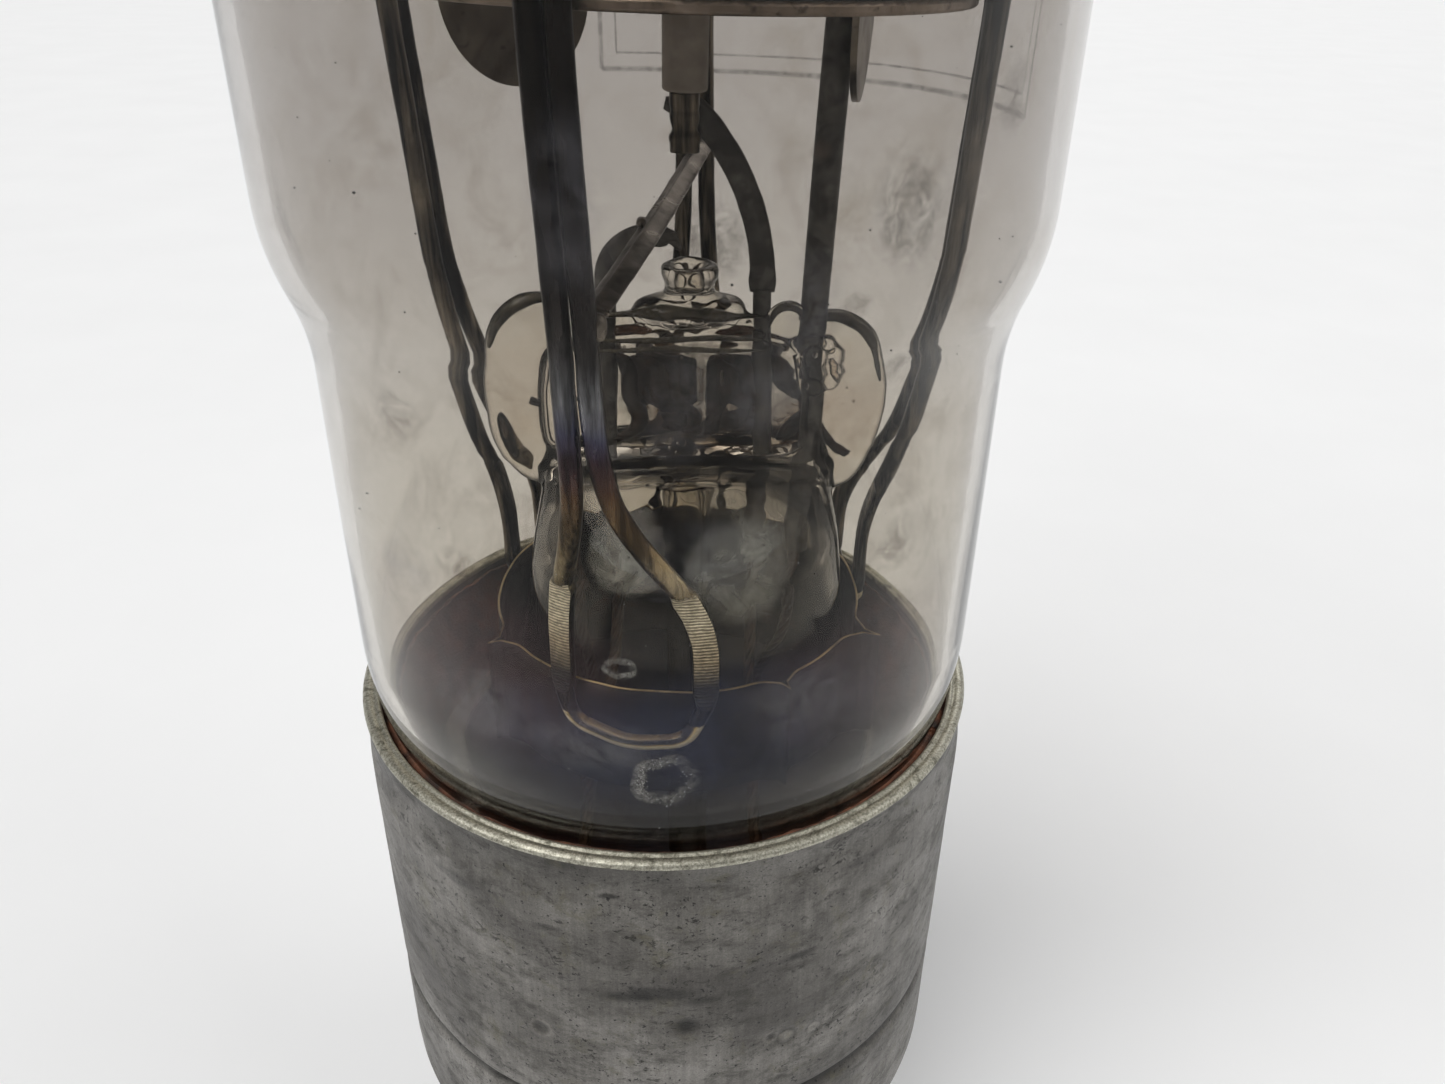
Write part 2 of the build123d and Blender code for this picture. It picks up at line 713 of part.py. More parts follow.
with BuildPart() as cathode_insulator:
    with BuildSketch(cage.offset(insulator_height)):
        Circle(insulator_radius)
        with Locations((bar_floor_x + 0.1, 0)):
            Circle(bar_hole_radius, mode=Mode.SUBTRACT)
        with Locations((sleeve_x, sleeve_y)):
            Circle(sleeve_hole_radius, mode=Mode.SUBTRACT)
    extrude(amount=insulator_thickness)

cathode_insulator.part.label = "cathode_insulator"
export_step(cathode_insulator.part, "parts/cathode_insulator.step")

for name, radius, low, high, mouth in shields:
    with BuildPart() as shield:
        with BuildSketch(cage.offset(low)):
            Circle(radius)
            with Locations((bar_floor_x + 0.1, 0)):
                Circle(bar_hole_radius, mode=Mode.SUBTRACT)
        extrude(amount=high - low)
        with BuildSketch(cage.offset(low)):
            Circle(radius - shield_wall)
        extrude(amount=high - low - shield_wall, mode=Mode.SUBTRACT)
        with BuildSketch(cage.offset(low)):
            Circle(mouth)
        extrude(amount=high - low, mode=Mode.SUBTRACT)
    shield.part.label = f"cathode_{name}_shield"
    export_step(shield.part, f"parts/cathode_{name}_shield.step")

with BuildPart() as cathode_sleeve:
    with BuildSketch(cage.offset(sleeve_height[0])):
        Circle(sleeve_outer)
        Circle(sleeve_outer - sleeve_wall, mode=Mode.SUBTRACT)
    extrude(amount=sleeve_height[1] - sleeve_height[0])

cathode_sleeve.part.label = "cathode_sleeve"
export_step(cathode_sleeve.part, "parts/cathode_sleeve.step")

vane_reach = sleeve_outer - sleeve_wall - seat_gap

with BuildPart() as cathode_vanes:
    with BuildSketch(cage.offset(sleeve_height[0] + vane_inset)):
        Circle(vane_inner)
        with PolarLocations((vane_inner + vane_reach - vane_root) / 2, vane_count):
            Rectangle(vane_reach - vane_inner + vane_root, vane_wall)
        Circle(vane_inner - vane_wall, mode=Mode.SUBTRACT)
    extrude(amount=sleeve_height[1] - sleeve_height[0] - 2 * vane_inset)

cathode_vanes.part.label = "cathode_vanes"
export_step(cathode_vanes.part, "parts/cathode_vanes.step")

with BuildPart() as heater_core:
    with BuildSketch(cage.offset(core_height[0])):
        Circle(core_radius)
    extrude(amount=core_height[1] - core_height[0])

heater_core.part.label = "heater_core"
export_step(heater_core.part, "parts/heater_core.step")

# The heater is a folded wire that runs up and down round its core.
heater_route = []
for leg in range(heater_legs):
    angle = math.radians(360 / heater_legs * leg)
    place = (heater_circle * math.cos(angle), heater_circle * math.sin(angle))
    ends = heater_height if leg % 2 == 0 else heater_height[::-1]
    heater_route += [place + (ends[0],), place + (ends[1],)]
heater_route = [cage.from_local_coords(point) for point in heater_route]

with BuildPart() as heater_wire:
    with BuildLine() as heater_line:
        FilletPolyline(*heater_route, radius=heater_bend)
    heater_path = heater_line.wire()
    with BuildSketch(Plane(origin=heater_route[0], z_dir=heater_path % 0)):
        Circle(heater_wire_radius)
    sweep(path=heater_path)

heater_wire.part.label = "heater_wire"
export_step(heater_wire.part, "parts/heater_wire.step")

# ---------------------------------------------------------------- centre lead of the heater
sleeve_bottom = -6.6  # all heights here are from the cage floor
sleeve_top = 1.5
sleeve_radius = 1.75
sleeve_edge_round = 0.3
rod_low = -10.8
rod_high = 6.4
centre_rod_radius = 0.75
ferrule_low = -11.0
ferrule_high = -6.7
ferrule_half_width = 1.25
ferrule_half_depth = 1.05
ferrule_corner = 0.9

with BuildPart() as heater_lead_rod:
    with BuildSketch(cage.offset(rod_low)):
        with Locations((sleeve_x, sleeve_y)):
            Circle(centre_rod_radius)
    extrude(amount=rod_high - rod_low)

heater_lead_rod.part.label = "heater_lead_rod"
export_step(heater_lead_rod.part, "parts/heater_lead_rod.step")

with BuildPart() as ceramic_sleeve:
    with BuildSketch(cage.offset(sleeve_bottom)):
        with Locations((sleeve_x, sleeve_y)):
            Circle(sleeve_radius)
            Circle(centre_rod_radius + 0.05, mode=Mode.SUBTRACT)
    extrude(amount=sleeve_top - sleeve_bottom)
    sleeve_edges = ceramic_sleeve.edges().filter_by(GeomType.CIRCLE).sort_by(SortBy.LENGTH)
    fillet(sleeve_edges[-2:], sleeve_edge_round)

ceramic_sleeve.part.label = "ceramic_sleeve"
export_step(ceramic_sleeve.part, "parts/ceramic_sleeve.step")

with BuildPart() as heater_ferrule:
    with BuildSketch(cage.offset(ferrule_low)):
        with Locations((sleeve_x, sleeve_y)):
            RectangleRounded(2 * ferrule_half_width, 2 * ferrule_half_depth, ferrule_corner)
            Circle(centre_rod_radius + seat_gap, mode=Mode.SUBTRACT)
    extrude(amount=ferrule_high - ferrule_low)

heater_ferrule.part.label = "heater_ferrule"
export_step(heater_ferrule.part, "parts/heater_ferrule.step")

# ---------------------------------------------------------------- curved lead straps
strap_width = 2.2
strap_thickness = 1.0
heater_strap_end = (0.9, 51.2)
heater_strap_bend = ((2.7, 50.7), (6.55, 45.2), (heater_lead_x, 38.0))
grid_strap_bend = ((grid_lead_x, 37.2), (-3.8, 40.0), (-1.2, 41.1))
grid_strap_end = (1.2, 40.4)
grid_strap_width = 1.87
strap_foot = 10.0  # square that trims each strap level with its lead
heater_strap_low_z = heater_lead_top_z + seat_gap
grid_strap_low_z = grid_lead_top_z + seat_gap


def above_rim(point):
    """Sketch point given as x and height above the rim."""
    return (point[0], rim_z + point[1])


with BuildPart() as heater_strap:
    with BuildSketch(Plane.XZ.offset(-lead_y)):
        with BuildLine():
            Line(above_rim(heater_strap_end), above_rim(heater_strap_bend[0]))
            ThreePointArc(*[above_rim(point) for point in heater_strap_bend])
            Line(above_rim(heater_strap_bend[2]), (heater_lead_x, heater_strap_low_z))
        trace(line_width=strap_width)
        with Locations((heater_lead_x, heater_strap_low_z - strap_foot / 2)):
            Rectangle(strap_foot, strap_foot, mode=Mode.SUBTRACT)
    extrude(amount=strap_thickness / 2, both=True)

heater_strap.part.label = "heater_strap"
export_step(heater_strap.part, "parts/heater_strap.step")

with BuildPart() as grid_strap:
    with BuildSketch(Plane.XZ.offset(-lead_y)):
        with BuildLine():
            Line((grid_lead_x, grid_strap_low_z), above_rim(grid_strap_bend[0]))
            ThreePointArc(*[above_rim(point) for point in grid_strap_bend])
            Line(above_rim(grid_strap_bend[2]), above_rim(grid_strap_end))
        trace(line_width=grid_strap_width)
        with Locations((grid_lead_x, grid_strap_low_z - strap_foot / 2)):
            Rectangle(strap_foot, strap_foot, mode=Mode.SUBTRACT)
    extrude(amount=strap_thickness / 2, both=True)

grid_strap.part.label = "grid_strap"
export_step(grid_strap.part, "parts/grid_strap.step")

# ---------------------------------------------------------------- ribbon between front and back supports
ribbon_front = (-4.6, -20.4, rim_z + 41.2)
ribbon_back = (4.1, 21.2, rim_z + 45.3)
ribbon_width = 2.0
ribbon_wall = 0.3
ribbon_flange = 0.9
ribbon_run = Vector(ribbon_back) - Vector(ribbon_front)

with BuildPart() as tie_ribbon:
    with BuildSketch(Plane(origin=ribbon_front, x_dir=(0, 0, 1), z_dir=ribbon_run)):
        Rectangle(ribbon_width, ribbon_wall)
        with Locations(((ribbon_width - ribbon_wall) / 2, ribbon_flange / 2)):
            Rectangle(ribbon_wall, ribbon_flange)
    extrude(amount=ribbon_run.length)

tie_ribbon.part.label = "tie_ribbon"
export_step(tie_ribbon.part, "parts/tie_ribbon.step")

# ---------------------------------------------------------------- leads from the press to the pins
wire_radius = 0.6
wire_starts = (-8.8, grid_lead_x, heater_lead_x, bar_low[0])
wire_pins = (135, 225, 315, 45)  # degrees from +X, one pin for each lead
wire_bend = 6.0
wire_low_z = solder_high_z + 0.1
wire_high_z = lead_low_z - seat_gap

with BuildPart() as base_lead_wires:
    for start_x, pin_angle in zip(wire_starts, wire_pins):
        pin_x = pin_circle * math.cos(math.radians(pin_angle))
        pin_y = pin_circle * math.sin(math.radians(pin_angle))
        wire_route = (
            (start_x, lead_y, wire_high_z),
            (start_x, lead_y, rim_z + 2.0),
            (0.7 * pin_x, 0.7 * pin_y, rim_z - 13.0),
            (pin_x, pin_y, rim_z - 38.0),
            (pin_x, pin_y, wire_low_z),
        )
        with BuildLine() as wire_line:
            FilletPolyline(*wire_route, radius=wire_bend)
        wire_path = wire_line.wire()
        with BuildSketch(Plane(origin=wire_route[0], z_dir=wire_path % 0)):
            Circle(wire_radius)
        sweep(path=wire_path)

base_lead_wires.part.label = "base_lead_wires"
export_step(base_lead_wires.part, "parts/base_lead_wires.step")

# ---------------------------------------------------------------- anode, its rod and its seal
anode_radius = 18.2
anode_low_z = cage_floor_z + 40.5
anode_thickness = 7.0
anode_edge = 2.0
anode_boss_radius = 5.0
anode_boss_height = 5.0
anode_boss_round = 1.0
anode_x = cage_x + 0.7
anode_top_z = anode_low_z + anode_thickness + anode_boss_height
anode_rod_radius = 1.5
anode_rod_top_z = rim_z + 139.0
anode_rod_depth = 4.0
anode_rod_round = 0.5
seal_tube_radius = tubulation_bore - 0.05
seal_tube_wall = 1.1
seal_tube_top_z = rim_z + 149.8
seal_bead_low_z = rim_z + 131.0
seal_bead_high_z = rim_z + 135.5

with BuildPart() as anode_disc:
    with BuildSketch(level(anode_low_z, anode_x)):
        Circle(anode_radius)
    extrude(amount=anode_thickness)
    fillet(anode_disc.edges().filter_by(GeomType.CIRCLE), anode_edge)
    with BuildSketch(level(anode_low_z + anode_thickness, anode_x)):
        Circle(anode_boss_radius)
    extrude(amount=anode_boss_height)
    fillet(anode_disc.edges().group_by(Axis.Z)[-1], anode_boss_round)
    with BuildSketch(level(anode_top_z - anode_rod_depth)):
        Circle(anode_rod_radius + seat_gap)
    extrude(amount=anode_rod_depth, mode=Mode.SUBTRACT)

anode_disc.part.label = "anode_disc"
export_step(anode_disc.part, "parts/anode_disc.step")

anode_rod_low_z = anode_top_z - anode_rod_depth + seat_gap

with BuildPart() as anode_rod:
    with BuildSketch(level(anode_rod_low_z)):
        Circle(anode_rod_radius)
    extrude(amount=anode_rod_top_z - anode_rod_low_z)
    fillet(anode_rod.edges().group_by(Axis.Z)[-1], anode_rod_round)

anode_rod.part.label = "anode_rod"
export_step(anode_rod.part, "parts/anode_rod.step")

rod_sleeve_radius = 3.2
rod_sleeve_low_z = anode_top_z + 0.2
rod_sleeve_round = 0.6
rod_sleeve_high_z = seal_bead_low_z - 1.0

with BuildPart() as anode_rod_sleeve:
    with BuildSketch(level(rod_sleeve_low_z)):
        Circle(rod_sleeve_radius)
        Circle(anode_rod_radius + 0.05, mode=Mode.SUBTRACT)
    extrude(amount=rod_sleeve_high_z - rod_sleeve_low_z)
    rod_sleeve_edges = anode_rod_sleeve.edges().filter_by(GeomType.CIRCLE).sort_by(SortBy.LENGTH)
    fillet(rod_sleeve_edges[-2:], rod_sleeve_round)

anode_rod_sleeve.part.label = "anode_rod_sleeve"
export_step(anode_rod_sleeve.part, "parts/anode_rod_sleeve.step")

with BuildPart() as anode_seal_glass:
    with BuildSketch(Plane.XZ):
        with BuildLine():
            Polyline(
                (anode_rod_radius + seat_gap, seal_bead_low_z),
                (anode_rod_radius + 1.4, seal_bead_low_z),
                (anode_rod_radius + 2.0, seal_bead_low_z + 1.2),
                (seal_tube_radius, seal_bead_high_z + 2.0),
                (seal_tube_radius, seal_tube_top_z),
                (seal_tube_radius - seal_tube_wall, seal_tube_top_z),
                (seal_tube_radius - seal_tube_wall, seal_bead_high_z + 3.0),
                (anode_rod_radius + 0.8, seal_bead_high_z),
                (anode_rod_radius + seat_gap, seal_bead_high_z),
                (anode_rod_radius + seat_gap, seal_bead_low_z),
            )
        make_face()
    revolve(axis=Axis.Z)

anode_seal_glass.part.label = "anode_seal_glass"
export_step(anode_seal_glass.part, "parts/anode_seal_glass.step")

# ---------------------------------------------------------------- anode cap
cap_radius = 7.19
cap_wall = 0.45
cap_low_z = rim_z + 146.6
cap_top_z = overall_height - 0.5
cap_hole_radius = 1.3
cap_round = 1.2
cap_joint_gap = 0.4  # between the cap's edge and the cement inside it
solder_ball = 2.28
solder_sunk = 1.78  # depth of the ball's centre below the cap's top
flexible_lead_radius = 0.9

with BuildPart() as anode_cap:
    with BuildSketch(level(cap_low_z)):
        Circle(cap_radius)
    extrude(amount=cap_top_z - cap_low_z)
    fillet(anode_cap.edges().group_by(Axis.Z)[-1], cap_round)
    with BuildSketch(level(cap_low_z)):
        Circle(cap_radius - cap_wall)
    extrude(amount=cap_top_z - cap_low_z - cap_wall, mode=Mode.SUBTRACT)
    with BuildSketch(level(cap_low_z)):
        Circle(cap_hole_radius)
    extrude(amount=cap_top_z - cap_low_z, mode=Mode.SUBTRACT)

anode_cap.part.label = "anode_cap"
export_step(anode_cap.part, "parts/anode_cap.step")

with BuildPart() as anode_cap_cement:
    with BuildSketch(level(cap_low_z + cap_joint_gap)):
        Circle(cap_radius - cap_wall - 0.04)
        Circle(tubulation_radius + 0.04, mode=Mode.SUBTRACT)
    extrude(amount=tubulation_top_z - cap_low_z - cap_joint_gap)

anode_cap_cement.part.label = "anode_cap_cement"
export_step(anode_cap_cement.part, "parts/anode_cap_cement.step")

with BuildPart() as anode_flexible_lead:
    with BuildSketch(level(anode_rod_top_z + seat_gap)):
        Circle(flexible_lead_radius)
    extrude(amount=cap_top_z - 0.3 - anode_rod_top_z)

anode_flexible_lead.part.label = "anode_flexible_lead"
export_step(anode_flexible_lead.part, "parts/anode_flexible_lead.step")

with BuildPart() as anode_cap_solder:
    with Locations((0, 0, cap_top_z - solder_sunk)):
        Sphere(solder_ball)
    with BuildSketch(level(cap_low_z)):
        Circle(2 * solder_ball)
    extrude(amount=cap_top_z + seat_gap - cap_low_z, mode=Mode.SUBTRACT)

anode_cap_solder.part.label = "anode_cap_solder"
export_step(anode_cap_solder.part, "parts/anode_cap_solder.step")
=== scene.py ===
"""Looks of the gas-filled control tube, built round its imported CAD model.

Lengths here are in millimetres and heights are above the top rim of the base shell, because every
piece is placed from that rim. place() turns them into the frame's metres.
"""
import bmesh
import bpy
import math
import random
from mathutils import Matrix, Vector, noise


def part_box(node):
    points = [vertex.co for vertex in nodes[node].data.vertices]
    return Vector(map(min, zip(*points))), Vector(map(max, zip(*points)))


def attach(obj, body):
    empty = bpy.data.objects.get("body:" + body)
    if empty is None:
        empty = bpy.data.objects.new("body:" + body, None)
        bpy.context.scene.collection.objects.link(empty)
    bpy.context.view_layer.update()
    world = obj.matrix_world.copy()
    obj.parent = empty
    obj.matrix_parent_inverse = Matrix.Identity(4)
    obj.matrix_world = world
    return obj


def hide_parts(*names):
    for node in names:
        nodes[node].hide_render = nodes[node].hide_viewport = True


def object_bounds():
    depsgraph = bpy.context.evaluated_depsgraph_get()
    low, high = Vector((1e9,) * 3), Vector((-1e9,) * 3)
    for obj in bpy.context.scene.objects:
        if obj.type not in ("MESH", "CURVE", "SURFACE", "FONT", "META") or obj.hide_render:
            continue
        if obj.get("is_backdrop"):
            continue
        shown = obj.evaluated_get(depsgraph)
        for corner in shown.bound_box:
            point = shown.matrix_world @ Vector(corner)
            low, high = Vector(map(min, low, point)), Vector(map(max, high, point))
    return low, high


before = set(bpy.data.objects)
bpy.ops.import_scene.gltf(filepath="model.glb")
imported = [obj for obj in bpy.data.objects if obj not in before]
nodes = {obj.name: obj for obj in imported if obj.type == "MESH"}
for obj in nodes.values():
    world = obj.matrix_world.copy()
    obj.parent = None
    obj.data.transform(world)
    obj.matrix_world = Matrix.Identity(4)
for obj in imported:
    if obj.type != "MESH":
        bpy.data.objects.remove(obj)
cad_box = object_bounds()
random.seed(7)

MM = 0.001
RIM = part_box("base_shell")[1][2]  # height of the rim in the frame


def to_rim(height):
    """Height above the rim, in millimetres, of a height in the frame."""
    return (height - RIM) / MM


# ---------------------------------------------------------------- sizes taken from the frame
BULB_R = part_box("glass_bulb")[1][0] / MM
SHELL_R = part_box("base_shell")[1][0] / MM
SERRATION = 0.3  # pitch of the serrations on the feet
SHELL_LOW = to_rim(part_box("base_shell")[0][2])
BULB_TOP = to_rim(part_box("glass_bulb")[1][2])
COLLAR_LOW = to_rim(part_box("stem_collar")[0][2])
COLLAR_TOP = to_rim(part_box("stem_collar")[1][2])

NECK_R = 28.5
GROOVE_Z = -32.0
# Each dimple's two tones are painted light: below 1 painted shade, above 1 painted highlight, in its middle
# and on its ring.
DIMPLES = (  # azimuth, height, radius of the struck ring, tone of its middle and of the ring
    (-23.0, -21.7, 1.0, 0.58, 1.55),
    (2.6, -19.0, 0.9, 0.30, 0.60),
    (17.6, -22.7, 0.6, 0.42, 1.3),
    (20.5, -23.2, 0.9, 1.35, 0.6),
    (26.0, -23.6, 0.8, 1.4, 0.75),
)
MARK_REACH = 4.0  # a dimple's tones are set within this distance
SMEARS = (  # azimuth, height, half-length and tone of dark rubbed marks on the shell
    (-9.4, -3.8, 0.9, 0.30),
    (-8.0, -15.3, 2.6, 0.40),
    (-1.0, -14.9, 3.4, 0.45),
    (5.5, -15.8, 2.2, 0.50),
    (22.0, -13.0, 1.8, 0.4),
    (-20.0, -8.4, 1.2, 0.5),
    (34.0, -5.0, 2.0, 0.6),
    (-38.0, -7.0, 2.4, 0.6),
    (150.0, -12.0, 3.0, 0.5),
    (-120.0, -20.0, 3.4, 0.55),
)
COLLAR_R = 17.2
COLLAR_X = 1.2
ROD_R = 0.85


# ---------------------------------------------------------------- small tools for shapes
def on_circle(azimuth, radius, height, centre_x=0.0):
    """Point on a circle: azimuth 0 is -Y, positive towards +X."""
    angle = math.radians(azimuth)
    return Vector((centre_x + radius * math.sin(angle), -radius * math.cos(angle), height))


def place(point):
    """A point in millimetres from the rim, in the frame's metres."""
    return (point[0] * MM, point[1] * MM, point[2] * MM + RIM)


def clamp(value):
    """The value, kept between 0 and 1."""
    return min(max(value, 0), 1)


def wobble(point, scale, seed=0.0):
    """Smooth noise between about -1 and 1 that changes over `scale` millimetres."""
    return noise.noise(Vector(point) / scale + Vector((seed, seed * 1.7, -seed)))


def make_piece(name, points, faces, material, stands_for=()):
    """A mesh piece on the tube's one body."""
    mesh = bpy.data.meshes.new(name)
    mesh.from_pydata([place(point) for point in points], [], faces)
    mesh.validate()
    tidy = bmesh.new()
    tidy.from_mesh(mesh)
    bmesh.ops.recalc_face_normals(tidy, faces=tidy.faces)
    tidy.to_mesh(mesh)
    tidy.free()
    mesh.polygons.foreach_set("use_smooth", [True] * len(mesh.polygons))
    mesh.materials.append(material)
    piece = bpy.data.objects.new(name, mesh)
    bpy.context.scene.collection.objects.link(piece)
    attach(piece, "root")
    if stands_for:
        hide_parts(*stands_for)
    return piece


def skin(rings, closed=False):
    """Skin over rings of equal length: closed joins the last to the first, else the ends are capped."""
    count = len(rings[0])
    points = [point for ring in rings for point in ring]
    faces = []
    last = len(rings) if closed else len(rings) - 1
    for row in range(last):
        low = row * count
        high = (row + 1) % len(rings) * count
        for i in range(count):
            j = (i + 1) % count
            faces.append((low + i, low + j, high + j, high + i))
    if not closed:
        faces.append(tuple(range(count))[::-1])
        faces.append(tuple(range(len(points) - count, len(points))))
    return points, faces


def lathe(profile, segments, shift=None, centre=(0.0, 0.0)):
    """Closed surface of revolution: profile is a loop of (radius, height)."""
    rings = []
    for radius, height in profile:
        ring = []
        for i in range(segments):
            angle = 2 * math.pi * i / segments
            point = Vector((radius * math.cos(angle), radius * math.sin(angle), height))
            if shift:
                point += shift(point, angle)
            ring.append(point + Vector((centre[0], centre[1], 0)))
        rings.append(ring)
    return skin(rings, closed=True)


def bent(points, reach, steps=7):
    """Route with each corner rounded by a curve that stays within `reach` of the corner."""
    points = [Vector(point) for point in points]
    route = [points[0]]
    for before, here, after in zip(points, points[1:], points[2:]):
        into = here - before
        out = after - here
        cut_in = min(reach, 0.48 * into.length)
        cut_out = min(reach, 0.48 * out.length)
        start = here - into.normalized() * cut_in
        end = here + out.normalized() * cut_out
        for step in range(steps + 1):
            t = step / steps
            route.append((1 - t) ** 2 * start + 2 * t * (1 - t) * here + t * t * end)
    return route + [points[-1]]


def resampled(route, spacing):
    """The same route with points at an even spacing."""
    lengths = [0.0]
    for a, b in zip(route, route[1:]):
        lengths.append(lengths[-1] + (b - a).length)
    count = max(2, round(lengths[-1] / spacing))
    result = []
    span = 0
    for i in range(count + 1):
        wanted = lengths[-1] * i / count
        while span < len(route) - 2 and lengths[span + 1] < wanted:
            span += 1
        length = max(lengths[span + 1] - lengths[span], 1e-9)
        share = clamp((wanted - lengths[span]) / length)
        result.append(route[span].lerp(route[span + 1], share))
    return result


def sweep(route, section, facing, sides=20, turn=None):
    """Skin along a route.

    section(i, point) gives half-width, half-depth and squareness (2 is round, more is squarer).
    facing(point) is the direction that the depth points in. turn(i) twists the section, in radians.
    """
    rings = []
    last = len(route) - 1
    for i, point in enumerate(route):
        along = (route[min(i + 1, last)] - route[max(i - 1, 0)]).normalized()
        wide = facing(point).cross(along).normalized()
        deep = along.cross(wide).normalized()
        if turn:
            spin = Matrix.Rotation(turn(i), 3, along)
            wide = spin @ wide
            deep = spin @ deep
        half_width, half_depth, square = section(i, point)
        ring = []
        for side in range(sides):
            angle = 2 * math.pi * side / sides
            c = math.cos(angle)
            s = math.sin(angle)
            x = half_width * math.copysign(abs(c) ** (2 / square), c)
            y = half_depth * math.copysign(abs(s) ** (2 / square), s)
            ring.append(point + wide * x + deep * y)
        rings.append(ring)
    return skin(rings)


def toward_back(point):
    """The depth of a level or upright strip seen from the front."""
    return Vector((0, 1, 0))


def upward(point):
    """The depth of a strip that lies flat."""
    return Vector((0, 0, 1))


def joined(parts):
    """Several (points, faces) pairs as one."""
    points = []
    faces = []
    for more_points, more_faces in parts:
        start = len(points)
        points += more_points
        faces += [tuple(i + start for i in face) for face in more_faces]
    return points, faces


def pillow(centre, half, power, tilt=0.0, rows=20, columns=32):
    """Rounded block: a super-ellipsoid with the given half sizes, tilted in the XZ plane."""
    spin = Matrix.Rotation(math.radians(tilt), 3, "Y")
    rings = []
    for row in range(1, rows):
        latitude = math.pi * row / rows - math.pi / 2
        ring = []
        for column in range(columns):
            longitude = 2 * math.pi * column / columns
            raw = Vector((
                math.cos(latitude) * math.cos(longitude),
                math.cos(latitude) * math.sin(longitude),
                math.sin(latitude),
            ))
            size = sum(abs(value) ** power for value in raw) ** (-1 / power)
            point = Vector((raw.x * half[0], raw.y * half[1], raw.z * half[2])) * size
            ring.append(Vector(centre) + spin @ point)
        rings.append(ring)
    return skin(rings)


def arc(start, heading, radius, sweep_angle, steps):
    """Points of an arc in (radius, height), after `start`. Positive turns left; angles in degrees."""
    heading = math.radians(heading)
    turn = math.radians(sweep_angle)
    side = math.copysign(1, turn)
    centre = (start[0] - side * radius * math.sin(heading), start[1] + side * radius * math.cos(heading))
    points = []
    for step in range(1, steps + 1):
        angle = heading + turn * step / steps
        points.append((
            centre[0] + side * radius * math.sin(angle),
            centre[1] - side * radius * math.cos(angle),
        ))
    return points


# ---------------------------------------------------------------- small tools for materials
def shade(value):
    """Linear colour of a grey, of a linear colour of four parts, or of a screen colour of three."""
    if not isinstance(value, tuple):
        return (value, value, value, 1)
    if len(value) == 4:
        return value
    linear = []
    for part in value:
        share = part / 255
        linear.append(share / 12.92 if share <= 0.04045 else ((share + 0.055) / 1.055) ** 2.4)
    return (*linear, 1.0)


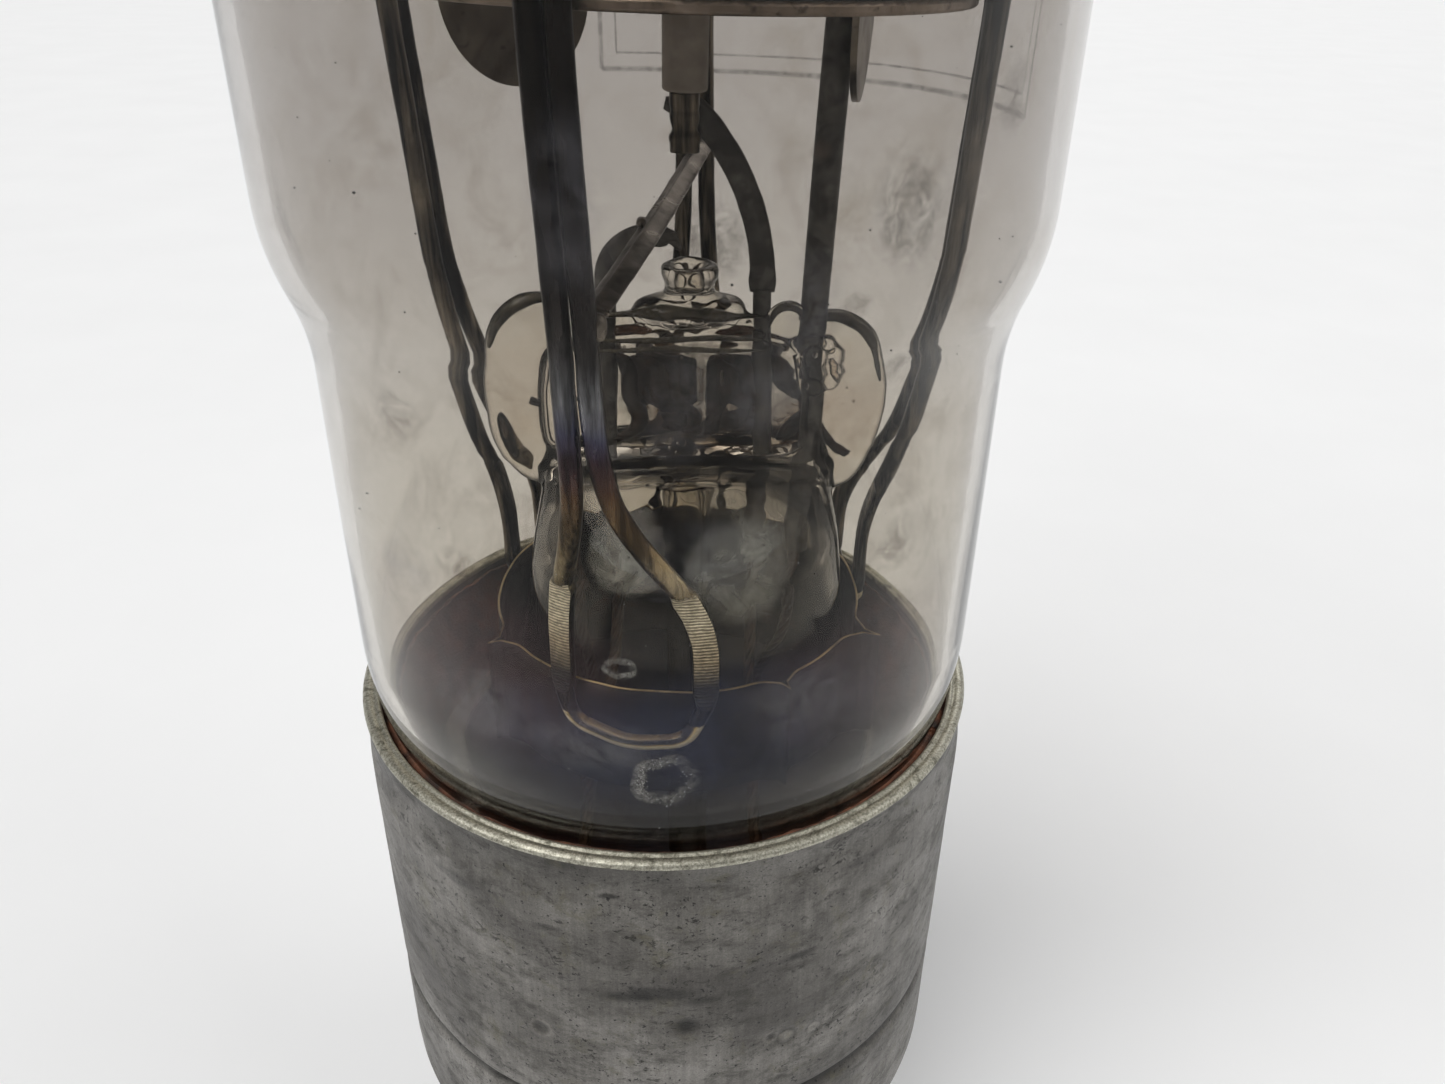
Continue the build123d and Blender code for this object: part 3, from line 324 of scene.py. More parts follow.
class Finish:
    """A material made of nodes, with coordinates in millimetres."""

    def __init__(self, name, metallic=0.0, roughness=0.5, **inputs):
        self.material = bpy.data.materials.new(name)
        self.material.use_nodes = True
        self.tree = self.material.node_tree
        self.shader = self.tree.nodes["Principled BSDF"]
        self.output = self.tree.nodes["Material Output"]
        self.shader.inputs["Metallic"].default_value = metallic
        self.shader.inputs["Roughness"].default_value = roughness
        for label, value in inputs.items():
            self.shader.inputs[label.replace("_", " ")].default_value = value
        where = self.tree.nodes.new("ShaderNodeTexCoord")
        self.place = where.outputs["Object"]
        self.facing = where.outputs["Normal"]
        self.height = None

    def coords(self, stretch=(1, 1, 1)):
        node = self.tree.nodes.new("ShaderNodeMapping")
        node.inputs["Scale"].default_value = [value / MM for value in stretch]
        self.tree.links.new(self.place, node.inputs["Vector"])
        return node.outputs[0]

    def grain(self, size, detail=4.0, rough=0.55, stretch=(1, 1, 1), warp=0.0):
        """Noise whose patches are about `size` millimetres across."""
        node = self.tree.nodes.new("ShaderNodeTexNoise")
        node.inputs["Scale"].default_value = 1 / size
        node.inputs["Detail"].default_value = detail
        node.inputs["Roughness"].default_value = rough
        node.inputs["Distortion"].default_value = warp
        self.tree.links.new(self.coords(stretch), node.inputs["Vector"])
        return node.outputs["Fac"]

    def part_of(self, vector, axis):
        """The X, Y or Z of a vector."""
        split = self.tree.nodes.new("ShaderNodeSeparateXYZ")
        self.tree.links.new(vector, split.inputs[0])
        return split.outputs[axis]

    def above_rim(self):
        """Height above the rim in millimetres."""
        return self.math("SUBTRACT", self.part_of(self.coords(), "Z"), RIM / MM)

    def distance(self, point, flatten=1.0):
        """Distance in millimetres from a point given from the rim, with heights times `flatten`."""
        node = self.tree.nodes.new("ShaderNodeVectorMath")
        node.operation = "DISTANCE"
        node.inputs[1].default_value = (point[0], point[1], (point[2] + RIM / MM) * flatten)
        self.tree.links.new(self.coords((1, 1, flatten)), node.inputs[0])
        return node.outputs["Value"]

    def math(self, operation, a, b=0.0):
        node = self.tree.nodes.new("ShaderNodeMath")
        node.operation = operation
        for socket, value in zip(node.inputs, (a, b)):
            if isinstance(value, (int, float)):
                socket.default_value = value
            else:
                self.tree.links.new(value, socket)
        return node.outputs[0]

    def ramp(self, factor, *stops):
        """Colours or greys along a factor: stops are (position, value)."""
        node = self.tree.nodes.new("ShaderNodeValToRGB")
        marks = node.color_ramp.elements
        while len(marks) < len(stops):
            marks.new(0.5)
        for mark, (position, value) in zip(marks, stops):
            mark.position = position
            mark.color = shade(value)
        self.tree.links.new(factor, node.inputs[0])
        return node.outputs[0]

    def mix(self, factor, a, b, blend="MIX"):
        """Colour a turned into colour b by a factor."""
        node = self.tree.nodes.new("ShaderNodeMix")
        node.data_type = "RGBA"
        node.blend_type = blend
        for socket, value in zip((node.inputs[0], node.inputs[6], node.inputs[7]), (factor, a, b)):
            if isinstance(value, (int, float)):
                socket.default_value = value
            elif isinstance(value, tuple):
                socket.default_value = shade(value)
            else:
                self.tree.links.new(value, socket)
        return node.outputs[2]

    def times(self, a, b):
        """Two colours multiplied."""
        return self.mix(1.0, a, b, "MULTIPLY")

    def sway(self, grain, reach):
        """A grain as a shift of up to half of `reach` either way."""
        return self.math("MULTIPLY", self.math("SUBTRACT", grain, 0.5), reach)

    def along(self, value, start, length):
        """How far a value is along a stretch, from 0 at its start to 1 at its end."""
        return self.math("DIVIDE", self.math("SUBTRACT", value, start), length)

    def bump(self, height, depth):
        """Adds a bump: depth is in millimetres."""
        node = self.tree.nodes.new("ShaderNodeBump")
        node.inputs["Distance"].default_value = depth * MM
        self.tree.links.new(height, node.inputs["Height"])
        if self.height:
            self.tree.links.new(self.height, node.inputs["Normal"])
        self.height = node.outputs[0]
        self.tree.links.new(self.height, self.shader.inputs["Normal"])

    def drive(self, label, value):
        self.tree.links.new(value, self.shader.inputs[label])

    def let_lamps_through(self, tint):
        """Lamp light passes this glass, dimmed by the tint, instead of stopping at it."""
        clear = self.tree.nodes.new("ShaderNodeBsdfTransparent")
        clear.inputs[0].default_value = tint
        path = self.tree.nodes.new("ShaderNodeLightPath")
        blend = self.tree.nodes.new("ShaderNodeMixShader")
        self.tree.links.new(path.outputs["Is Shadow Ray"], blend.inputs[0])
        self.tree.links.new(self.shader.outputs[0], blend.inputs[1])
        self.tree.links.new(clear.outputs[0], blend.inputs[2])
        self.tree.links.new(blend.outputs[0], self.output.inputs[0])


# ---------------------------------------------------------------- materials
TINT_Z = (16.0, 36.0)  # height where the glass has its low tint, and how much higher the other starts


def glass(name, low_tint, high_tint, smudge, lamp_tint, shine, edge, ripple, film, stains=(), fold_shade=None):
    """Blown glass: tinted, smudged, a little uneven, and darkened by painted shade where its surface turns
    away.

    shine scales the reflection seen head on; edge is how much of the colour the painted outline shade
    leaves at the outline, and the two turns (0 is facing, 1 is edge on) between which it falls. Each stain
    is a point, a radius and a colour. fold_shade is an arched band of painted shade: centre in X, crest,
    drop per square millimetre aside, half thickness and tone.
    """
    finish = Finish(name, roughness=0.0, IOR=1.48, Transmission_Weight=1.0)
    finish.shader.inputs["Specular Tint"].default_value = (shine, shine, shine, 1.0)
    dirty = finish.grain(9.0, 5.0, 0.6, warp=0.6)
    cloud = finish.ramp(finish.grain(6.5, 7.0, 0.68, warp=0.8), (0.50, 0.0), (0.78, 1.0))
    share = finish.along(finish.above_rim(), *TINT_Z)
    tint = finish.mix(cloud, finish.ramp(share, (0.0, low_tint), (1.0, high_tint)), smudge)
    # painted shade: the colour darkens towards the outline, where the surface turns edge on to the view
    painted_light_turn = finish.tree.nodes.new("ShaderNodeLayerWeight")
    painted_light_turn.inputs["Blend"].default_value = 0.5
    left, start, end = edge
    outline = finish.ramp(painted_light_turn.outputs["Facing"], (start, 1.0), (end, left))
    colour = finish.times(tint, outline)
    ragged = finish.grain(1.5, 5.0, 0.65, warp=0.7)
    for point, radius, stain in stains:
        frayed = finish.math("ADD", finish.distance(point), finish.math("MULTIPLY", ragged, radius))
        share = finish.ramp(finish.math("DIVIDE", frayed, 2 * radius), (0.42, 1.0), (0.78, 0.0))
        colour = finish.mix(share, colour, stain, "MULTIPLY")
    if fold_shade:
        # painted shade: an arched dark band, bowed down to each side of its centre
        middle, crest, drop, half, tone = fold_shade
        aside = finish.math("SUBTRACT", finish.part_of(finish.coords(), "X"), middle)
        bow = finish.math("MULTIPLY", finish.math("MULTIPLY", aside, aside), drop)
        bowed = finish.math("ADD", finish.math("SUBTRACT", finish.above_rim(), crest), bow)
        swayed = finish.math("ADD", bowed, finish.sway(ragged, 1.2))
        off = finish.math("DIVIDE", finish.math("ABSOLUTE", swayed), half)
        colour = finish.times(colour, finish.ramp(off, (0.7, tone), (1.0, 1.0)))
    finish.drive("Base Color", colour)
    finish.drive("Roughness", finish.ramp(dirty, (0.45, 0.0), (0.85, film)))
    finish.bump(finish.grain(14.0, 1.0, 0.4), ripple)
    finish.let_lamps_through(lamp_tint)
    return finish.material


def worn_metal(name, light, middle, dark, roughness, grain=2.0, pits=0.02):
    """Metal with tarnish in soft patches and fine specks."""
    finish = Finish(name, metallic=1.0)
    cloud = finish.grain(grain * 4, 6.0, 0.62, warp=0.4)
    speck = finish.grain(grain * 0.35, 3.0, 0.6)
    colour = finish.ramp(cloud, (0.33, dark), (0.5, middle), (0.68, light))
    specks = finish.ramp(speck, (0.30, 0.45), (0.42, 1.0))
    finish.drive("Base Color", finish.times(colour, specks))
    low, high = roughness
    finish.drive("Roughness", finish.ramp(cloud, (0.3, high), (0.7, low)))
    finish.bump(speck, pits)
    return finish.material


HEATED_LOW = 7.5  # stretch of the front support that the heat bands share
HEATED_HIGH = 48.0


def heat_tinted_metal(name):
    """Dark support rod with blue, purple and straw heat bands above its feet, and lighter streaks along it
    that are partly drawing marks and partly painted highlight.
    """
    finish = Finish(name, metallic=1.0)
    streak = finish.grain(0.9, 5.0, 0.6, (1, 1, 0.06))
    patch = finish.grain(4.0, 3.0, 0.5)
    height = finish.above_rim()
    waver = finish.sway(patch, 5.0)
    share = finish.along(finish.math("ADD", height, waver), HEATED_LOW, HEATED_HIGH - HEATED_LOW)
    bands = finish.ramp(
        share,
        (0.0, (40, 36, 30)),
        (0.22, (72, 64, 50)),
        (0.30, (206, 190, 154)),
        (0.42, (160, 136, 102)),
        (0.50, (112, 86, 70)),
        (0.57, (82, 64, 80)),
        (0.61, (104, 106, 142)),
        (0.69, (178, 184, 198)),
        (0.78, (76, 74, 76)),
        (0.90, (36, 33, 30)),
    )
    # lighter streaks along the rod: partly drawing marks, partly painted highlight
    streaks_and_sheen = finish.ramp(streak, (0.40, 0.18), (0.62, 1.0))
    finish.drive("Base Color", finish.times(bands, streaks_and_sheen))
    finish.drive("Roughness", finish.ramp(streak, (0.3, 0.40), (0.7, 0.20)))
    finish.bump(streak, 0.02)
    return finish.material


def streaky_rod(name, light, dark):
    """Drawn nickel rod: dark, with lighter streaks along it, partly drawing marks and partly painted
    highlight, and stained patches.
    """
    finish = Finish(name, metallic=1.0)
    streak = finish.grain(1.0, 5.0, 0.6, (1, 1, 0.07))
    patch = finish.grain(5.0, 5.0, 0.65, (1, 1, 0.4), warp=0.5)
    # lighter streaks along the rod: partly drawing marks, partly painted highlight
    colour = finish.ramp(streak, (0.44, dark), (0.64, light))
    stains = finish.ramp(patch, (0.38, 0.35), (0.62, 1.0))
    finish.drive("Base Color", finish.times(colour, stains))
    finish.drive("Roughness", finish.ramp(patch, (0.3, 0.42), (0.7, 0.22)))
    finish.bump(streak, 0.02)
    return finish.material


def serrated_foot(name, light, middle, dark):
    """Flattened foot: fine level serrations with painted shade in their grooves and painted highlight on
    their crests, pale above and darkened below by painted shade.
    """
    finish = Finish(name, metallic=0.35)
    height = finish.above_rim()
    waver = finish.grain(1.6, 3.0, 0.6)
    phase = finish.math("MULTIPLY", height, 2 * math.pi / SERRATION)
    wave = finish.math("SINE", finish.math("ADD", phase, finish.math("MULTIPLY", waver, 7.0)))
    tooth = finish.math("MULTIPLY", finish.math("ADD", wave, 1.0), 0.5)
    worn = finish.grain(0.5, 4.0, 0.7)
    # painted shade: the foot darkens towards its bottom
    share = finish.along(height, 8.0, 11.0)
    colour = finish.ramp(share, (0.0, dark), (0.10, dark), (0.34, middle), (0.66, light))
    # painted shade in the grooves of the serrations and painted highlight on their crests
    ridge_shaded = finish.times(colour, finish.ramp(tooth, (0.2, 0.42), (0.8, 1.18)))
    rubbed = finish.ramp(worn, (0.35, 0.6), (0.6, 1.1))
    finish.drive("Base Color", finish.times(ridge_shaded, rubbed))
    finish.drive("Roughness", finish.ramp(worn, (0.3, 0.55), (0.7, 0.36)))
    finish.bump(tooth, 0.05)
    return finish.material


def bight_with_painted_highlights(name):
    """Bight of the front support, with painted highlights set by which way its surface faces: a bright gold
    one along its lower edge, a duller one along its upper edge.
    """
    finish = Finish(name, metallic=0.4)
    patch = finish.grain(1.6, 4.0, 0.6, (0.3, 0.3, 1), warp=0.3)
    waver = finish.sway(patch, 0.5)
    # painted highlight: the colour is set by how far the surface faces up or down
    upness = finish.math("ADD", finish.math("MULTIPLY", finish.part_of(finish.facing, "Z"), 0.5), 0.5)
    painted_light_turn = finish.math("ADD", upness, finish.math("MULTIPLY", waver, 0.25))
    bands = finish.ramp(
        painted_light_turn,
        (0.48, (255, 244, 206)),
        (0.57, (190, 166, 104)),
        (0.63, (44, 38, 28)),
        (0.86, (36, 31, 24)),
        (0.94, (124, 106, 76)),
    )
    finish.drive("Base Color", bands)
    finish.drive("Roughness", finish.ramp(patch, (0.35, 0.24), (0.65, 0.36)))
    finish.bump(patch, 0.03)
    return finish.material


def oxidised_lead(name, dark, pale):
    """Matt, dark oxide with paler rubbed patches."""
    finish = Finish(name, metallic=0.55)
    patch = finish.grain(2.2, 5.0, 0.65, warp=0.5)
    fine = finish.grain(0.3, 3.0, 0.6)
    finish.drive("Base Color", finish.ramp(patch, (0.42, dark), (0.72, pale)))
    finish.drive("Roughness", finish.ramp(fine, (0.3, 0.62), (0.7, 0.4)))
    finish.bump(fine, 0.03)
    return finish.material


def stained_shell(name):
    """Dull plated steel: cloudy greys, upright brushing, dark stains, scuffs and specks, sandy grain, with
    painted shade along the groove and under the rim, and painted shade and highlight at the struck dimples.
    """
    finish = Finish(name, metallic=0.5)
    cloud = finish.grain(12.0, 6.0, 0.62, warp=0.4)
    brushed = finish.grain(0.42, 4.0, 0.65, (1, 1, 0.05))
    smear = finish.grain(3.2, 8.0, 0.75, (0.75, 0.75, 1.6), warp=0.3)
    fleck = finish.grain(0.9, 5.0, 0.72, (0.9, 0.9, 1.4), warp=0.6)
    flecky = finish.grain(8.0, 3.0, 0.6)
    speck = finish.grain(0.42, 2.0, 0.5)
    sand = finish.grain(0.16, 3.0, 0.7)
    grime = finish.grain(3.0, 5.0, 0.7, warp=0.5)
    base = finish.ramp(cloud, (0.36, (84, 81, 77)), (0.5, (110, 107, 102)), (0.64, (136, 133, 128)))
    brush = finish.times(base, finish.ramp(brushed, (0.34, 0.84), (0.66, 1.10)))
    stained = finish.mix(finish.ramp(smear, (0.49, 0.0), (0.68, 0.85)), brush, (62, 60, 55))
    greened = finish.mix(finish.ramp(grime, (0.56, 0.0), (0.70, 0.5)), stained, (90, 86, 64))
    where = finish.ramp(flecky, (0.44, 0.15), (0.58, 1.0))
    dots = finish.math("MULTIPLY", finish.ramp(fleck, (0.565, 0.0), (0.63, 0.95)), where)
    flecked = finish.mix(dots, greened, (42, 40, 36))
    spotted = finish.mix(finish.ramp(speck, (0.67, 0.0), (0.70, 0.9)), flecked, (34, 32, 32))
    # painted shade: darker along the rolled groove
    from_groove = finish.math("ABSOLUTE", finish.math("SUBTRACT", finish.above_rim(), GROOVE_Z))
    groove_shade = finish.times(spotted, finish.ramp(from_groove, (0.22, 0.34), (0.75, 1.0)))
    # painted shade: darker in the shallow hollow just under the rim
    under_rim_shade = finish.ramp(finish.math("DIVIDE", finish.above_rim(), -8.0), (0.12, 0.72), (0.75, 1.0))
    shaded = finish.times(groove_shade, under_rim_shade)
    # painted shade and highlight at each dimple, in its middle and on its ring
    for azimuth, height, ring, centre_painted_light, ring_painted_light in DIMPLES:
        far = finish.distance(on_circle(azimuth, SHELL_R, height))
        tones = ((0.0, centre_painted_light), (0.55 * ring, centre_painted_light), (ring, ring_painted_light), (ring + 0.4, 1.0))
        steps = [(reach / MARK_REACH, tone) for reach, tone in tones]
        mark = finish.ramp(finish.math("DIVIDE", far, MARK_REACH), *steps)
        shaded = finish.times(shaded, mark)
        finish.bump(mark, 0.2)
    for azimuth, height, reach, tone in SMEARS:
        far = finish.distance(on_circle(azimuth, SHELL_R, height), 4.0)
        frayed = finish.math("ADD", far, finish.sway(smear, 4 * reach))
        mark = finish.ramp(finish.math("DIVIDE", frayed, 2 * reach), (0.28, tone), (0.62, 1.0))
        shaded = finish.times(shaded, mark)
    sanded = finish.ramp(sand, (0.32, 0.74), (0.66, 1.14))
    finish.drive("Base Color", finish.times(shaded, sanded))
    finish.drive("Roughness", finish.ramp(smear, (0.35, 0.40), (0.65, 0.58)))
    finish.bump(smear, 0.05)
    finish.bump(brushed, 0.015)
    finish.bump(sand, 0.03)
    return finish.material


def rim_worn_and_highlit(name):
    """Rim, pale partly from wear by handling and partly from a painted highlight on its top, with rings of
    fine scratches and dirt left in the hollows.
    """
    finish = Finish(name, metallic=0.85)
    sand = finish.grain(0.2, 4.0, 0.7)
    dirt = finish.grain(1.3, 6.0, 0.72, warp=0.6)
    base = finish.ramp(sand, (0.32, (118, 115, 102)), (0.66, (196, 193, 178)))
    dirty = finish.mix(finish.ramp(dirt, (0.52, 0.0), (0.64, 0.7)), base, (70, 67, 54))
    finish.drive("Base Color", dirty)
    finish.drive("Roughness", finish.ramp(dirt, (0.4, 0.30), (0.65, 0.6)))
    finish.bump(sand, 0.04)
    return finish.material


def hazy(name, tone, thickest, grain_size, thinnest=0.0):
    """Thin film on glass, for deposits and for the violet and blue painted flare: it fades to nothing at the
    edge of each patch, as its "fade" layer says.
    """
    finish = Finish(name, roughness=0.9)
    fade = finish.tree.nodes.new("ShaderNodeAttribute")
    fade.attribute_name = "fade"
    cloud = finish.ramp(finish.grain(grain_size, 6.0, 0.65, warp=0.8), (0.36, thinnest), (0.64, thickest))
    tint = finish.grain(grain_size * 0.4, 4.0, 0.6)
    finish.drive("Base Color", finish.mix(tint, tone, tuple(0.72 * value for value in tone[:3]) + (1.0,)))
    finish.drive("Alpha", finish.math("MULTIPLY", cloud, fade.outputs["Fac"]))
    return finish.material


def dark_interior_with_flare(name):
    """Dark inside of the base, with painted flare: purple brown on one side, blue grey on the other, and a
    pale bloom.
    """
    finish = Finish(name, roughness=0.55)
    waver = finish.math("MULTIPLY", finish.grain(9.0, 4.0, 0.6, warp=0.5), 26.0)
    aside = finish.math("ADD", finish.part_of(finish.coords(), "X"), waver)
    across = finish.math("DIVIDE", finish.math("ADD", aside, 16.0), 58.0)
    # painted flare: the colour turns from purple brown to blue grey across the inside
    flare_hue = finish.ramp(across, (0.15, (64, 46, 48)), (0.5, (40, 44, 62)), (0.85, (60, 52, 50)))
    # painted flare: pale bloom
    flare_bloom = finish.ramp(finish.grain(5.0, 6.0, 0.7, warp=0.8), (0.5, 0.0), (0.8, 0.45))
    finish.drive("Base Color", finish.mix(flare_bloom, flare_hue, (92, 94, 112)))
    fine = finish.grain(0.5, 4.0, 0.65)
    finish.drive("Roughness", finish.ramp(fine, (0.3, 0.7), (0.7, 0.42)))
    finish.bump(fine, 0.02)
    return finish.material


def mottled(name, light, dark, size, roughness, depth, metallic=0.0):
    """Matt material with soft mottling: ceramic, cement, phenolic, graphite and the like."""
    finish = Finish(name, metallic=metallic)
    patch = finish.grain(size, 6.0, 0.65, warp=0.3)
    fine = finish.grain(size * 0.15, 3.0, 0.6)
    finish.drive("Base Color", finish.ramp(patch, (0.35, dark), (0.65, light)))
    low, high = roughness
    finish.drive("Roughness", finish.ramp(fine, (0.3, high), (0.7, low)))
    finish.bump(fine, depth)
    return finish.material


# The bulb gets a faint painted outline shade.
bulb_glass = glass(
    "bulb_glass", (0.73, 0.70, 0.64, 1), (0.60, 0.575, 0.55, 1), (0.48, 0.44, 0.39, 1),
    (0.93, 0.92, 0.91, 1), 0.18, (0.55, 0.72, 0.97), 0.02, 0.03,
)
PRESS_STAINS = (  # point on the front of the press, radius, colour
    ((0.4, -2.4, 28.0), 3.4, (0.50, 0.38, 0.28, 1)),
    ((6.4, -2.4, 27.8), 2.8, (0.52, 0.42, 0.33, 1)),
    ((10.8, -2.2, 25.6), 2.8, (0.66, 0.54, 0.45, 1)),
    ((4.0, -2.4, 24.6), 2.4, (0.80, 0.62, 0.46, 1)),
    ((-12.0, -0.8, 27.0), 8.0, (0.93, 0.89, 0.86, 1)),
    ((15.6, -0.8, 26.0), 7.0, (0.86, 0.81, 0.78, 1)),
)
# Arched band of painted shade across the front of the press, where its thick fold looks dark.
PRESS_FOLD_SHADE = (0.8, 23.6, 0.034, 1.1, 0.14)  # as glass() takes it
STEM_TINT = (0.85, 0.815, 0.75, 1)
# The stem gets a strong painted outline shade, and the painted shade band across its press.
stem_glass = glass(
    "stem_glass", STEM_TINT, STEM_TINT, (0.70, 0.61, 0.50, 1),
    (0.97, 0.96, 0.95, 1), 0.6, (0.07, 0.20, 0.54), 0.03, 0.02, PRESS_STAINS, PRESS_FOLD_SHADE,
)
shell_metal = stained_shell("shell_metal")
rim_metal = rim_worn_and_highlit("rim_metal")
support_metal = heat_tinted_metal("support_metal")
grey_support = streaky_rod("grey_support", (146, 135, 119), (24, 21, 18))
foot_metal = serrated_foot("foot_metal", (252, 242, 216), (200, 186, 158), (38, 38, 42))
grey_foot = serrated_foot("grey_foot", (126, 120, 110), (96, 90, 82), (44, 44, 46))
bight_highlights = bight_with_painted_highlights("bight_highlights")
cage_metal = worn_metal("cage_metal", (182, 168, 154), (142, 129, 117), (96, 85, 76), (0.28, 0.5))
tab_metal = worn_metal("tab_metal", (138, 130, 118), (106, 99, 90), (70, 64, 58), (0.28, 0.5))
collar_metal = worn_metal("collar_metal", (52, 46, 44), (35, 33, 35), (25, 24, 28), (0.45, 0.65))
# Pale gold of the collar's top edge: painted highlight.
collar_edge_highlight = worn_metal("collar_edge_highlight", (206, 184, 140), (160, 140, 104), (90, 78, 60), (0.25, 0.45))
ribbon_metal = worn_metal("ribbon_metal", (158, 152, 144), (108, 102, 96), (62, 57, 52), (0.22, 0.42), 1.4)
dark_lead = oxidised_lead("dark_lead", (60, 58, 55), (114, 111, 107))
braid_oxide = oxidised_lead("braid_oxide", (22, 19, 17), (62, 46, 36))
can_metal = oxidised_lead("can_metal", (40, 40, 42), (78, 78, 80))
tungsten = worn_metal("tungsten", (150, 148, 148), (112, 110, 112), (70, 68, 70), (0.3, 0.5))
graphite = mottled("graphite", (78, 78, 80), (52, 52, 54), 3.0, (0.42, 0.62), 0.03, 0.2)
ceramic = mottled("ceramic", (172, 163, 152), (142, 133, 122), 2.5, (0.5, 0.65), 0.02)
emitter = mottled("emitter", (226, 224, 218), (190, 186, 178), 1.2, (0.8, 0.95), 0.08)
cement = mottled("cement", (110, 66, 42), (34, 25, 19), 2.4, (0.6, 0.85), 0.15)
phenolic = mottled("phenolic", (58, 46, 40), (32, 27, 25), 6.0, (0.38, 0.58), 0.02)
pin_metal = worn_metal("pin_metal", (206, 196, 176), (180, 170, 152), (118, 106, 92), (0.2, 0.42), 2.0, 0.01)
solder = worn_metal("solder", (190, 190, 190), (150, 150, 152), (98, 98, 100), (0.3, 0.5), 1.2, 0.05)
copper = worn_metal("copper", (176, 112, 80), (136, 84, 60), (78, 52, 42), (0.32, 0.5), 1.0)
base_lead = oxidised_lead("base_lead", (40, 34, 32), (92, 74, 62))
base_inside_with_flare = dark_interior_with_flare("base_inside_with_flare")
pale_haze = hazy("pale_haze", (0.40, 0.42, 0.50, 1.0), 0.30, 2.6)
stem_cloud = hazy("stem_cloud", (0.46, 0.48, 0.46, 1.0), 0.85, 3.0, 0.25)
# Violet and blue films of painted flare, low in the bulb.
violet_flare = hazy("violet_flare", (0.26, 0.13, 0.17, 1.0), 0.21, 6.0, 0.08)
blue_flare = hazy("blue_flare", (0.15, 0.19, 0.40, 1.0), 0.20, 6.0, 0.07)
ink = hazy("ink", (0.10, 0.095, 0.09, 1.0), 0.62, 0.9, 0.2)
frost = hazy("frost", (0.50, 0.52, 0.54, 1.0), 0.95, 0.55)
brown_haze = hazy("brown_haze", (0.16, 0.11, 0.08, 1.0), 0.60, 2.2)
press_stain = hazy("press_stain", (0.20, 0.10, 0.05, 1.0), 1.0, 1.4, 0.45)
# Dark colour of the rods of painted shade in the rolled edges of the press.
roll_shade_dark = mottled("roll_shade_dark", (86, 82, 70), (38, 36, 30), 1.2, (0.15, 0.35), 0.02)
crystal = mottled("crystal", (176, 178, 182), (124, 128, 134), 0.4, (0.4, 0.6), 0.01)
cap_metal = worn_metal("cap_metal", (196, 190, 180), (160, 153, 145), (104, 96, 88), (0.25, 0.45), 3.0)

carried = {
    "bayonet_pin": shell_metal, "anode_cap": cap_metal, "exhaust_tube": stem_glass,
    "anode_seal_glass": stem_glass, "cage_floor": cage_metal, "cage_floor_tabs": tab_metal,
    "cathode_lead_bar": dark_lead, "heater_press_lead": dark_lead, "grid_press_lead": dark_lead,
    "cathode_outer_shield": ribbon_metal, "cathode_inner_shield": ribbon_metal,
    "grid_can": can_metal, "grid_baffle": can_metal, "grid_can_lid": can_metal,
    "anode_disc": graphite, "ceramic_sleeve": ceramic, "anode_rod_sleeve": ceramic,
    "cathode_insulator": ceramic, "heater_core": ceramic, "cathode_sleeve": emitter,
    "cathode_vanes": emitter, "heater_wire": tungsten, "heater_lead_rod": tungsten,
    "anode_rod": tungsten, "anode_cap_cement": cement, "base_insulator": phenolic,
    "base_pins": pin_metal, "pin_solder": solder, "anode_cap_solder": solder,
    "anode_flexible_lead": copper,
}
for node_name, material in carried.items():
    slots = nodes[node_name].data.materials
    slots.clear()
    slots.append(material)


# ---------------------------------------------------------------- camera, floor and light
EYE = (0, -91.95, 63.7)  # where the camera stands
LOOKS_DOWN = 29.25
LOOKS_ASIDE = 3.34
LEANS = 1.02
FLOOR_SIZE = 6.0  # half of it, in metres


def make_camera():
    """Looks down at the neck and the base from the front, close up."""
    data = bpy.data.cameras.new("camera")
    data.lens = 27.65
    data.sensor_width = 36.0
    data.clip_start = 0.002
    camera = bpy.data.objects.new("camera", data)
    bpy.context.scene.collection.objects.link(camera)
    down = math.radians(LOOKS_DOWN)
    aside = math.radians(LOOKS_ASIDE)
    roll = math.radians(LEANS)
    forward = Vector((
        math.sin(aside) * math.cos(down),
        math.cos(aside) * math.cos(down),
        -math.sin(down),
    ))
    level_right = forward.cross(Vector((0, 0, 1))).normalized()
    level_up = level_right.cross(forward)
    right = math.cos(roll) * level_right + math.sin(roll) * level_up
    up = -math.sin(roll) * level_right + math.cos(roll) * level_up
    turn = Matrix((right, up, -forward)).transposed().to_4x4()
    camera.matrix_world = Matrix.Translation(place(EYE)) @ turn
    bpy.context.scene.camera = camera


def make_floor():
    """Plain pale floor, with a trace of grain."""
    mesh = bpy.data.meshes.new("floor")
    corners = [(FLOOR_SIZE * x, FLOOR_SIZE * y, 0) for x, y in ((-1, -1), (1, -1), (1, 1), (-1, 1))]
    mesh.from_pydata(corners, [], [(0, 1, 2, 3)])
    finish = Finish("floor_paint", roughness=0.75)
    grain = finish.grain(60.0, 3.0)
    finish.drive("Base Color", finish.ramp(grain, (0.3, 0.86), (0.7, 0.88)))
    mesh.materials.append(finish.material)
    floor = bpy.data.objects.new("floor", mesh)
    bpy.context.scene.collection.objects.link(floor)
    floor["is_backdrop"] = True


def soft_sun(name, azimuth, elevation, strength, spread):
    """Distant soft light, so that the floor is as bright far off as near."""
    data = bpy.data.lights.new(name, "SUN")
    data.energy = strength
    data.angle = math.radians(spread)
    lamp = bpy.data.objects.new(name, data)
    bpy.context.scene.collection.objects.link(lamp)
    height = math.radians(elevation)
    toward = on_circle(azimuth, math.cos(height), math.sin(height))
    lamp.rotation_euler = toward.to_track_quat("Z", "Y").to_euler()


